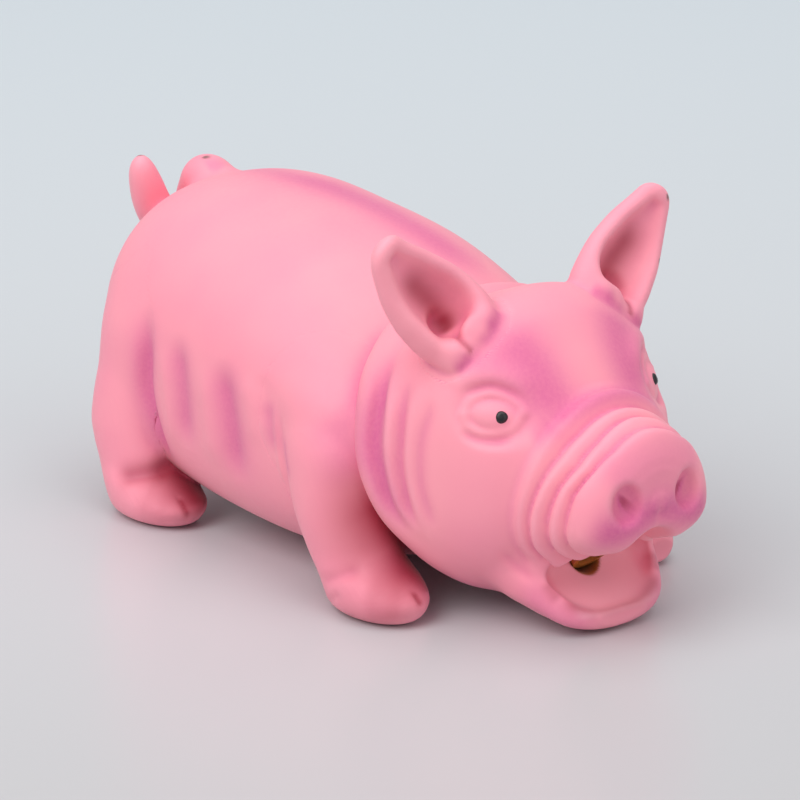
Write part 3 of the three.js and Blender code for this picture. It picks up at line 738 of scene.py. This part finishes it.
def headForm(block):  # before the mouth is opened and the lids are laid on
    soft = headSoftness
    head = trunkForm(block, headRows, headFullness)
    neck, place = block.part(*headRooms["neck"])
    head[place] = smoothMin(head[place], tube(neck.folded(), collarPath(), 10), soft["collar"])
    axes = eyeAxes()
    centre, facing = np.array(eye["place"]), axes[2]
    orbit, eyes = block.part(*headRooms["eyes"])
    socket = ellipsoid(orbit.folded(), centre + facing * eye["socketOut"], eye["socket"], axes)
    head[eyes] = smoothMax(head[eyes], -socket, soft["socket"])
    nose, tip = block.part(*headRooms["nose"])
    snout = trunkForm(nose, snoutRows, snoutFullness) - muzzleRolls(nose)
    head[tip] = smoothMin(head[tip], snout, soft["snout"])
    chin, place = block.part(*headRooms["chin"])
    head[place] = smoothMin(head[place], trunkForm(chin, jawRows, jawFullness), soft["jaw"])
    ball = ellipsoid(orbit.folded(), centre - facing * eye["sunk"], eye["ball"], axes)
    head[eyes] = smoothMin(head[eyes], ball, soft["eyeball"])
    dimple = ellipsoid(nose.folded(), nostril["place"], nostril["radii"])
    head[tip] = smoothMax(head[tip], -dimple, soft["nostril"])
    return head


def openMouth(head, block):
    soft = headSoftness
    mouth, place = block.part(*headRooms["mouth"])
    cavity = trunkForm(mouth, mouthRows, mouthFullness)
    cavity = smoothMin(cavity, tube(mouth, mouthRoof), soft["mouthRoof"])
    off, depth = throatHole(mouth.x, mouth.y, mouth.z)
    hole = ended(off - throat["radius"], depth, throat["front"], throat["deep"])
    head[place] = smoothMax(head[place], -cavity, soft["lip"])
    head[place] = smoothMax(head[place], -hole, soft["throat"])


def layLids(head, block, tracer):
    orbit, place = block.part(*headRooms["eyes"])
    facing = eyeAxes()[2]
    for pixels, radius, sink, softness in lids.values():
        path = [(*(np.array(p) - facing * sink), radius) for p in tracer.find(pixels)]
        head[place] = smoothMin(head[place], tube(orbit.folded(), path), softness)


headBlock = Block.spanning(*headRooms["head"], headStep)
headField = headForm(headBlock)
face = Tracer(Skin(headField, headBlock))
neckFolds, faceFolds = face.draw(neckStrokes), face.draw(faceStrokes)
layLids(headField, headBlock, face)
openMouth(headField, headBlock)
headShape = Skin(headField, headBlock)
headShape.push(listed(neckFolds, faceFolds))
print("head", len(headShape.quads), "quads")

# Ears, made for the right side and mirrored

ear = {  # rows: height, two offsets, two half sizes; balls: centre, radii
    "base": (-26.8, -61.2, 80.5), "up": (-0.6411, 0.1329, 0.7558), "across": (-0.7674, -0.1039, -0.6327),
    "horn": [(-5, -3.4, 1, 9.5, 7), (-2, -2.8, 1.1, 11.4, 7.6), (3, -1.8, 1.4, 13.2, 8),
             (9, -1.3, 1.8, 13.6, 7.4), (14, -1, 2.2, 13.2, 7), (18, -0.7, 2.4, 12.5, 6.6),
             (25, -0.4, 2.6, 10.4, 5.5), (32, -0.3, 2, 7.5, 4.2), (36.5, -0.6, 1.2, 5.6, 3.2),
             (38.4, -0.7, 0.7, 3.6, 2.2), (39.2, -0.7, 0.4, 1.3, 1)],
    "bowl": [(1, -1, -3.6, 4, 4.5), (5, -1.6, -4.2, 7, 8.3), (9, -2.2, -4.2, 8.6, 9.4),
             (14, -2.2, -4, 8.8, 9), (19, -1.5, -3.4, 8, 7.6), (25, -0.8, -2.4, 6, 5.4),
             (30, -0.5, -1.6, 3.4, 3.2), (33.5, -0.4, -1, 1.2, 1.2)],
    "well": ((-31.6, -56.8, 84.9), (3.4, 3.4, 3.6)),
    "lobe": ((-31.6, -63.3, 76.8), (4.8, 4.2, 4.8)),
    "flap": ((-23.2, -63.6, 82.8), (6.2, 2.8, 5.2)),
    "rimSoft": 4.4, "wellSoft": 2.5, "flapSoft": 4, "lobeSoft": 3, "rootSoft": 1.4,
}
earStrokes = {"notch": ([(450, 330), (456, 336), (463, 343), (472, 352)], 1.2, -0.6)}


def earAxes():
    up = np.array(ear["up"]) / np.linalg.norm(ear["up"])
    across = np.array(ear["across"]) - up * np.dot(ear["across"], up)
    across /= np.linalg.norm(across)
    back = np.cross(across, up)
    return up, across, back if back[1] > 0 else -back


def makeEar():
    block, place = headBlock.part(*headRooms["ear"])
    offset = [block.x - ear["base"][0], block.y - ear["base"][1], block.z - ear["base"][2]]
    height, across, deep = (sum(o * v for o, v in zip(offset, axis)) for axis in earAxes())
    leaf = stackForm(block, height, ear["horn"], across, deep)
    leaf = smoothMax(leaf, -stackForm(block, height, ear["bowl"], across, deep), ear["rimSoft"])
    leaf = smoothMax(leaf, -ellipsoid(block, *ear["well"]), ear["wellSoft"])
    leaf = smoothMin(leaf, ellipsoid(block, *ear["flap"]), ear["flapSoft"])
    leaf = smoothMin(leaf, ellipsoid(block, *ear["lobe"]), ear["lobeSoft"])
    tuckUnder(headShape, leaf, block, patch["ear"], patch["earTuck"])
    whole = smoothMin(headField[place] + seamSink, leaf, ear["rootSoft"])
    return Skin(np.maximum(whole, leaf - patch["ear"]), block)


def mirrored(shape):
    twin = copy.deepcopy(shape)
    twin.points[:, 0] *= -1
    twin.quads = twin.quads[:, ::-1]
    twin.findNormals()
    return twin


rightEar = makeEar()
rightEar.push(listed(Tracer(rightEar).draw(earStrokes)))
earShapes = {"right_ear": rightEar, "left_ear": mirrored(rightEar)}
for shape in earShapes.values():
    shape.push(listed(neckFolds, faceFolds))
print("ears")

# Paint, drawn in the picture: pixels, width, strength

facePaint = {
    "forehead": ([(492, 318), (507, 335), (524, 351), (538, 366),
                  (549, 388), (557, 408), (560, 426)], 8, 0.64),
    "temple": ([(470, 348), (495, 362), (522, 382), (543, 408), (552, 432)], 6.5, 0.35),
    "bridge": ([(540, 446), (556, 424), (575, 408), (600, 396), (620, 392), (640, 398)], 4.2, 0.6),
    "noseFace": ([(580, 526), (597, 532), (614, 533), (630, 526),
                  (648, 515), (664, 508), (680, 508)], 5.6, 0.8),
    "noseDull": ([(600, 492), (625, 474), (655, 462), (680, 466)], 8, 0.28),
    "nearNostril": ([(616, 506), (621, 502), (626, 497)], 3.4, 0.6),
    "chin": ([(512, 578), (540, 606), (570, 624), (606, 628)], 6, 0.35),
    "underEye": ([(527, 440), (545, 432), (556, 422)], 4, 0.35),
    "browShade": ([(452, 368), (470, 362), (490, 358)], 4, 0.3),
}
# painted shade: deep red in the nostril, inside the lip and at the mouth's corner
faceShadeStrokes = {
    "nostril": ([(620, 505), (623, 502), (627, 497)], 2.6, 0.55),
    "lipInside": ([(560, 600), (574, 606), (598, 608), (622, 603), (645, 590)], 2.2, 0.5),
    "mouthCorner": ([(544, 580), (552, 592), (560, 602)], 2, 0.35),
}
bodyPaint = {
    "thigh": (flankStrokes["thigh"][0], 5.4, 0.8),
    "rearFlank": (flankStrokes["rearFlank"][0], 5.4, 0.55),
    "midFlank": (flankStrokes["midFlank"][0], 6, 0.62),
    "foreFlank": ([(268, 396), (271, 424), (277, 456)], 3.6, 0.35),
    "elbow": ([(284, 432), (286, 458), (290, 482)], 2.2, 0.5),
    "shoulder": ([(330, 400), (342, 430), (350, 458), (361, 490)], 8, 0.35),
    # painted shade: darker magenta on the body just behind the collar
    "behindNeck": ([(400, 322), (380, 342), (364, 372), (356, 402), (354, 432)], 3.2, 0.5),
}
# painted shade: deep red on the shaded fronts of the legs, under the feet and in the toes' clefts
bodyShadeStrokes = {
    "frontShin": ([(356, 452), (374, 486), (388, 512), (400, 540),
                   (411, 568), (421, 592), (428, 612)], 14, 0.97),
    "frontCalf": ([(330, 440), (346, 480), (356, 520), (366, 552), (380, 580)], 10, 0.3),
    "frontFoot": ([(360, 590), (385, 594), (408, 600)], 8, 0.25),
    "frontToes": (frontCleft, 1.0, 0.75),
    "frontSole": ([(332, 612), (360, 619), (392, 617), (418, 611)], 3, 0.25),
    "rearAnkle": (rearFootStrokes["ankle"][0], 4, 0.5),
    "rearShin": ([(146, 456), (162, 462), (178, 474), (190, 490), (201, 507), (208, 522)], 9, 0.93),
    "rearFoot": ([(130, 500), (155, 500), (178, 508)], 8, 0.2),
    "rearToes": (rearCleft, 1.0, 0.75),
}
spinePaint = {
    "spine": ([(222, 166), (250, 169), (290, 176), (330, 187), (365, 201),
               (400, 219), (432, 238), (460, 257), (485, 272), (505, 279)], 9, 0.66),
    "tailRoot": ([(205, 168), (214, 165), (226, 169)], 3.6, 0.35),
}
earPaint = {
    "lobe": ([(470, 352), (464, 364), (452, 372)], 1.9, 0.55),
    "flap": ([(497, 318), (490, 334), (478, 346)], 1.8, 0.45),
    "innerBase": ([(588, 289), (602, 294), (618, 300)], 2.4, 0.6),
}
# painted shade: deep red in the ear's bowl, its well and its notch
earShadeStrokes = {
    "bowl": ([(398, 268), (412, 284), (430, 303), (446, 325), (452, 334)], 4.6, 0.7),
    "well": ([(438, 314), (445, 325), (451, 333)], 2.6, 0.65),
    "notch": ([(450, 330), (460, 340), (470, 350), (473, 353)], 1.1, 0.55),
}
neckPaint = {"band": (4.2, 0.8), "crease": (2.2, 0.35), "faint": (2, 0.25)}  # on folds: width, strength
throatShade = ([(-44, -44, 20), (-34, -52, 8), (-20, -60, 5), (0, -62, 4)], 8, 0.7)  # points, not pixels
chips = {  # worn spots: pixel, radius in millimetres
    "tailTip": ((140, 154), 1.8), "tailRoot": ((206, 157), 1.6),
    "earTip": ((668, 197), 1.2), "earEdge": ((665, 263), 1.5),
}

ears = Tracer(*earShapes.values())
every = Tracer(torsoShape, tailShape, *earShapes.values())
feet = Tracer(legShapes["right_front_leg"], legShapes["right_rear_leg"])
marks = listed(face.draw(facePaint), body.draw(bodyPaint), ears.draw(earPaint)) + [throatShade]
marks += [(neckFolds[name][0], width, strength) for name, (width, strength) in neckPaint.items()]
faceShadeMarks = listed(face.draw(faceShadeStrokes), ears.draw(earShadeStrokes))
bodyShadeMarks = listed(feet.draw(bodyShadeStrokes))
spineMarks = listed(every.draw(spinePaint))
worn = [(every.find([pixel])[0], radius) for pixel, radius in chips.values()]


def layered(shape, strokes, both):
    bare = np.ones(len(shape.points))
    for path, width, strength in strokes:
        bare *= 1 - strength * shape.near(path, width, both=both)
    return 1 - bare


valleys = {  # magenta laid in creases by how sunken the skin is, part airbrush and part painted shade, most on the muzzle and least in the mouth
    "gain": 2.4, "most": 0.55, "muzzleGain": 1.4, "muzzleMost": 0.2, "mouth": 0.1, "rounds": 5,
    "muzzleFront": (-84, -88), "muzzleLevel": (30, 48), "mouthBox": (21, -78, 31),
}
paintedHighlight = {  # painted highlight: pale paint on crests, and painted light on the floor of the mouth
    "gain": 2.5, "least": 0.1, "most": 0.6, "floor": 0.9,
    "floorSide": (17, 13), "floorFront": (-101, -98), "floorBack": (-80, -83),
    "floorUnder": (5, 7), "floorOver": (20, 15),
}
bareRim = {"start": 0.8, "end": 0.2, "past": 1}  # round the throat hole
wornStrength = 0.85


def onMouthFloor(x, y, z):
    across = smoothStep(np.abs(x), *paintedHighlight["floorSide"])
    length = smoothStep(y, *paintedHighlight["floorFront"]) * smoothStep(y, *paintedHighlight["floorBack"])
    return across * length * smoothStep(z, *paintedHighlight["floorUnder"]) * smoothStep(z, *paintedHighlight["floorOver"])


def paint(shape, shading):
    x, y, z = shape.points.T
    side, back, top = valleys["mouthBox"]
    inMouth = (np.abs(x) < side) & (y < back) & (z < top)
    onMuzzle = smoothStep(y, *valleys["muzzleFront"]) * smoothStep(z, *valleys["muzzleLevel"])
    # painted shade in the creases, partly airbrush: magenta by how sunken each point is
    hollow = shape.hollows(valleys["rounds"])
    gain = valleys["gain"] + valleys["muzzleGain"] * onMuzzle
    tint = np.clip(hollow * gain, 0, valleys["most"] + valleys["muzzleMost"] * onMuzzle)
    tint *= np.where(inMouth, valleys["mouth"], 1)
    # magenta: airbrush strokes, the painted shade under the chin and behind the collar, and the crease
    # tint
    sprayed = (1 - layered(shape, marks, True)) * (1 - layered(shape, spineMarks, False))
    shape.values["airbrushAndShade"] = 1 - sprayed * (1 - tint)
    # painted highlight on crests, and painted light on the floor of the mouth
    crest = np.clip(-hollow * paintedHighlight["gain"] - paintedHighlight["least"], 0, paintedHighlight["most"])
    shape.values["crest"] = np.maximum(crest, paintedHighlight["floor"] * onMouthFloor(x, y, z))
    # painted shade, laid by the deep red strokes
    shape.values["shadeLayer"] = layered(shape, shading, True)
    off, depth = throatHole(x, y, z)
    inHole = (depth > throat["front"]) & (depth < throat["deep"] + bareRim["past"])
    past = off - throat["radius"]
    shape.values["bare"] = smoothStep(past, bareRim["start"], bareRim["end"]) * inHole
    chip = np.zeros(len(x))
    for spot, radius in worn:
        gap = np.linalg.norm(shape.points - spot, axis=1)
        chip = np.maximum(chip, wornStrength * smoothStep(gap, radius, radius / 2))
    shape.values["chip"] = chip


for shape in [headShape, *earShapes.values()]:
    paint(shape, faceShadeMarks)
for shape in [torsoShape, tailShape, *legShapes.values()]:
    paint(shape, bodyShadeMarks)
torso = torsoShape.build("torsoSkin", skin)
head = headShape.build("headSkin", skin)
tail = tailShape.build("tailSkin", skin)
legs = {name: shape.build(name + "_skin", skin) for name, shape in legShapes.items()}
earPieces = {name: shape.build(name + "_skin", skin) for name, shape in earShapes.items()}
print("pieces built")

# Eyes

pupil = {
    "forward": 2.1, "lower": 0.2, "radius": 2.0, "crown": 0.5, "root": 0.9, "rings": 6, "sides": 32,
    "uneven": 0.03,  # brushed by hand
}


def pupilPaint():
    material, nodes, links, shader = freshMaterial("pupilPaint")
    cloud = noiseNode(nodes, links, 700, 2)
    colour = mixNode(nodes, links, cloud, rgb(12, 10, 14), rgb(30, 26, 30))
    links.new(colour, shader.inputs["Base Color"])
    links.new(rangeNode(nodes, links, cloud, 0.3, 0.7, 0.28, 0.4), shader.inputs["Roughness"])
    return material


def makePupil(side, material):
    sign = np.array((-side, 1, 1))
    along, upward, facing = (axis * sign for axis in eyeAxes())
    line = np.array(eye["place"]) * sign + along * pupil["forward"] - upward * pupil["lower"]
    gap = headShape.points - line
    depth = gap @ facing
    off = np.linalg.norm(gap - depth[:, None] * facing, axis=1)
    close = (off < 0.8) & (np.abs(depth) < 8)  # the eyeball's skin under the pupil
    centre = Vector(line + facing * depth[close].max())
    along, upward, facing = Vector(along), Vector(upward), Vector(facing)
    points, faces = [centre + facing * pupil["crown"]], []
    for ring in range(1, pupil["rings"] + 1):
        share = ring / pupil["rings"]
        height = pupil["crown"] - (pupil["crown"] + pupil["root"]) * share**4
        for k in range(pupil["sides"]):
            angle = 2 * math.pi * k / pupil["sides"]
            radius = pupil["radius"] * share * (1 + pupil["uneven"] * math.sin(3 * angle + 1))
            rim = along * radius * math.cos(angle) + upward * radius * math.sin(angle)
            points.append(centre + rim + facing * height)
    count = pupil["sides"]
    for k in range(count):
        faces.append((0, 1 + k, 1 + (k + 1) % count))
        for ring in range(pupil["rings"] - 1):
            a = 1 + ring * count
            faces.append((a + k, a + count + k, a + count + (k + 1) % count, a + (k + 1) % count))
    faces.append(tuple(reversed(range(len(points) - count, len(points)))))
    mesh = bpy.data.meshes.new("pupil")
    mesh.from_pydata([p * mm for p in points], [], [f[::-1] for f in faces] if side > 0 else faces)
    mesh.polygons.foreach_set("use_smooth", np.ones(len(mesh.polygons), bool))
    mesh.materials.append(material)
    piece = bpy.data.objects.new(("right" if side < 0 else "left") + "PupilDrop", mesh)
    bpy.context.scene.collection.objects.link(piece)
    return piece


blackPaint = pupilPaint()
for side, name in ((-1, "right_pupil"), (1, "left_pupil")):
    drop = makePupil(side, blackPaint)
    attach(drop, "head")
    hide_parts(name)
print("pupils")

# Stuffing: a lump of fibre, with loose curls over it

stuffing = {
    "room": ((-58, -62, 0), (58, 112, 104)),
    "step": 2.2, "inset": 6.0, "front": -20, "frontSoft": 6, "lump": 0.9, "wave": 5.5,
    "perSquareMetre": 26000, "curl": 2.2, "thickness": 0.16, "sweep": 230, "seed": 7,
}


def fibreLook():
    material, nodes, links, shader = freshMaterial("fibreFill")
    tuft = noiseNode(nodes, links, 160, 4, 0.65)
    colour = mixNode(nodes, links, tuft, rgb(244, 243, 238), rgb(222, 221, 214))
    links.new(colour, shader.inputs["Base Color"])
    links.new(rangeNode(nodes, links, tuft, 0.3, 0.7, 0.75, 0.95), shader.inputs["Roughness"])
    shader.inputs["Sheen Weight"].default_value = 0.3
    bumpNode(nodes, links, noiseNode(nodes, links, 900, 3), 0.4, 0.0006, shader)
    return material


def curlTree(material):
    tree = bpy.data.node_groups.new("looseCurls", "GeometryNodeTree")
    tree.interface.new_socket("Geometry", in_out="INPUT", socket_type="NodeSocketGeometry")
    sizes = {}
    for label, kind in (("Per square metre", "Float"), ("Curl radius", "Float"), ("Thickness", "Float"),
                        ("Sweep", "Float"), ("Seed", "Int")):
        sizes[label] = tree.interface.new_socket(label, in_out="INPUT", socket_type="NodeSocket" + kind)
    tree.interface.new_socket("Geometry", in_out="OUTPUT", socket_type="NodeSocketGeometry")
    nodes, links = tree.nodes, tree.links
    given, made = nodes.new("NodeGroupInput"), nodes.new("NodeGroupOutput")
    scatter = nodes.new("GeometryNodeDistributePointsOnFaces")
    arc, section = nodes.new("GeometryNodeCurveArc"), nodes.new("GeometryNodeCurvePrimitiveCircle")
    strand, turn = nodes.new("GeometryNodeCurveToMesh"), nodes.new("FunctionNodeRandomValue")
    place, real = nodes.new("GeometryNodeInstanceOnPoints"), nodes.new("GeometryNodeRealizeInstances")
    join, finish = nodes.new("GeometryNodeJoinGeometry"), nodes.new("GeometryNodeSetMaterial")
    arc.inputs["Resolution"].default_value = 8
    section.inputs["Resolution"].default_value = 3
    strand.inputs["Fill Caps"].default_value = True
    turn.data_type = "FLOAT_VECTOR"
    turn.inputs["Max"].default_value = (2 * math.pi, 2 * math.pi, 2 * math.pi)
    finish.inputs["Material"].default_value = material
    links.new(given.outputs["Geometry"], scatter.inputs["Mesh"])
    links.new(given.outputs["Per square metre"], scatter.inputs["Density"])
    links.new(given.outputs["Seed"], scatter.inputs["Seed"])
    links.new(given.outputs["Curl radius"], arc.inputs["Radius"])
    links.new(given.outputs["Sweep"], arc.inputs["Sweep Angle"])
    links.new(given.outputs["Thickness"], section.inputs["Radius"])
    links.new(arc.outputs["Curve"], strand.inputs["Curve"])
    links.new(section.outputs["Curve"], strand.inputs["Profile Curve"])
    links.new(given.outputs["Seed"], turn.inputs["Seed"])
    links.new(scatter.outputs["Points"], place.inputs["Points"])
    links.new(strand.outputs["Mesh"], place.inputs["Instance"])
    links.new(turn.outputs["Value"], place.inputs["Rotation"])
    links.new(given.outputs["Geometry"], join.inputs["Geometry"])
    links.new(place.outputs["Instances"], join.inputs["Geometry"])
    links.new(join.outputs["Geometry"], real.inputs["Geometry"])
    links.new(real.outputs["Geometry"], finish.inputs["Geometry"])
    links.new(finish.outputs["Geometry"], made.inputs["Geometry"])
    return tree, {label: socket.identifier for label, socket in sizes.items()}


def makeStuffing():
    block = Block.spanning(*stuffing["room"], stuffing["step"])
    lump = trunkForm(block, torsoRows, trunkFullness) + stuffing["inset"]
    wave = [np.sin(axis / stuffing["wave"]) for axis in (block.x, block.y, block.z)]
    lump = lump + stuffing["lump"] * wave[0] * wave[1] * wave[2]
    lump = smoothMax(lump, stuffing["front"] - block.y, stuffing["frontSoft"])
    fibre = fibreLook()
    piece = Skin(lump, block).build("fibreFill", fibre)
    tree, sockets = curlTree(fibre)
    curls = piece.modifiers.new("curls", "NODES")
    curls.node_group = tree
    curls[sockets["Per square metre"]] = float(stuffing["perSquareMetre"])
    curls[sockets["Curl radius"]] = stuffing["curl"] * mm
    curls[sockets["Thickness"]] = stuffing["thickness"] * mm
    curls[sockets["Sweep"]] = math.radians(stuffing["sweep"])
    curls[sockets["Seed"]] = stuffing["seed"]
    drawn = piece.evaluated_get(bpy.context.evaluated_depsgraph_get())
    mesh = bpy.data.meshes.new_from_object(drawn)
    piece.modifiers.remove(curls)
    piece.data = mesh
    print("stuffing", len(mesh.polygons), "faces")
    return piece


fill = makeStuffing()

# Baking the skins in place, and hiding the frame's skins that they replace

bends = {  # where each skin would start and end its turn from one body to the next, in metres; nothing here turns them
    "backTilt": (0, -0.174, 0.985), "back": (0.0813, 0.092),
    "fill": (0.072, 0.0845),  # the fill's turn, set before the skin's
    "jawPull": (0, -0.2, -0.98), "jaw": (-0.0005, 0.009),
    "tail": ((0, 0.088, 0.086), (0, 0.1, 0.092)),
    "frontHip": -0.023, "rearHip": 0.072, "leg": ((0.042, 0.046), (0.05, 0.02)),  # y, then x and z
    "ear": 0.012,
}
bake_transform(torso)
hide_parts("torso_skin", "back_panel")
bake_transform(fill)
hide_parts("stuffing")
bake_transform(head)
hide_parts("head_skin", "snout", "lower_jaw")
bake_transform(tail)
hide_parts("tail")
for name, piece in legs.items():
    sign = -1 if name.startswith("right") else 1
    hipY = bends["frontHip"] if "front" in name else bends["rearHip"]
    start, end = ((sign * x, hipY, z) for x, z in bends["leg"])
    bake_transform(piece)
    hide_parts(name)
for name, piece in earPieces.items():
    sign = -1 if name.startswith("right") else 1
    start = Vector(ear["base"]) * mm
    up = Vector(ear["up"])
    start.x, up.x = sign * abs(start.x), sign * abs(up.x)
    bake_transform(piece)
    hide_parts(name)
for piece in [torso, head, tail, *legs.values(), *earPieces.values()]:
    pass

# Voice box, whose own solids stay


def castLook(name, base, tint, roughness, scale, bump):
    material, nodes, links, shader = freshMaterial(name)
    grain = noiseNode(nodes, links, scale, 3)
    links.new(mixNode(nodes, links, grain, base, tint), shader.inputs["Base Color"])
    links.new(rangeNode(nodes, links, grain, 0.3, 0.7, *roughness), shader.inputs["Roughness"])
    bumpNode(nodes, links, grain, bump, 0.0003, shader)
    return material


voiceLooks = {  # two colours, roughness, scale of the grain, its bump
    "bareLatex": (*latexLook["bare"], (0.4, 0.55), 220, 0.15),
    "amberCasing": (rgb(186, 116, 54), rgb(164, 96, 42), (0.35, 0.5), 300, 0.08),
    "voiceCasing": (rgb(226, 214, 190), rgb(206, 192, 166), (0.35, 0.5), 300, 0.08),
    "reedFilm": (rgb(206, 214, 218), rgb(186, 196, 202), (0.12, 0.2), 160, 0.03),
}
voiceNodes = {
    "bareLatex": ["throat_collar"], "amberCasing": ["grunter_nozzle_cap"],
    "voiceCasing": ["grunter_barrel", "grunter_rear_cap", "reed_seat", "reed_clip"],
    "reedFilm": ["reed_tongue"],
}
for name, look in voiceLooks.items():
    material = castLook(name, *look)
    for node in voiceNodes[name]:
        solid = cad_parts[node]
        solid.data.materials.clear()
        solid.data.materials.append(material)
print("voice box")

# Stage

# the table's colour runs darker near the camera and lighter far off: painted shade and light across it
table = {
    "half": 6, "near": rgb(186, 184, 185), "far": rgb(238, 248, 254), "depth": (-0.3, 0.9),
    "roughness": 0.3,
}
lamps = {  # place and size in metres, power in watts
    "key": ((-1.2, -0.1, 1.2), 1.3, 17.0),
    "fill": ((0.2, -1.3, 0.6), 1.5, 5.0),
    "top": ((0.1, -0.1, 1.6), 1.4, 11.0),
}
lampAim = (0, 0, 0.04)
sky = {"colour": rgb(236, 237, 240), "strength": 0.52}


def makeFloor():
    size = table["half"]
    mesh = bpy.data.meshes.new("floor")
    corners = [(-size, -size, 0), (size, -size, 0), (size, size, 0), (-size, size, 0)]
    mesh.from_pydata(corners, [], [(0, 1, 2, 3)])
    floor = bpy.data.objects.new("floor", mesh)
    bpy.context.scene.collection.objects.link(floor)
    material, nodes, links, shader = freshMaterial("paleTable")
    place = nodes.new("ShaderNodeTexCoord")
    turn = nodes.new("ShaderNodeMapping")
    turn.inputs["Rotation"].default_value[2] = math.radians(-view["azimuth"])
    links.new(place.outputs["Object"], turn.inputs["Vector"])
    split = nodes.new("ShaderNodeSeparateXYZ")
    links.new(turn.outputs["Vector"], split.inputs["Vector"])
    depth = rangeNode(nodes, links, split.outputs["Y"], *table["depth"], 0, 1)
    # painted shade near the camera and painted light far off
    links.new(mixNode(nodes, links, depth, table["near"], table["far"]), shader.inputs["Base Color"])
    shader.inputs["Roughness"].default_value = table["roughness"]
    mesh.materials.append(material)


def makeLights():
    for name, (place, size, power) in lamps.items():
        data = bpy.data.lights.new(name, "AREA")
        data.size = size
        data.energy = power
        lamp = bpy.data.objects.new(name, data)
        lamp.location = place
        aim = Vector(lampAim) - Vector(place)
        lamp.rotation_euler = aim.to_track_quat("-Z", "Y").to_euler()
        bpy.context.scene.collection.objects.link(lamp)
    world = bpy.data.worlds.new("softSky")
    world.use_nodes = True
    world.node_tree.nodes["Background"].inputs["Color"].default_value = sky["colour"]
    world.node_tree.nodes["Background"].inputs["Strength"].default_value = sky["strength"]
    bpy.context.scene.world = world


makeCamera()
makeFloor()
makeLights()
bpy.context.scene.view_settings.view_transform = "Standard"
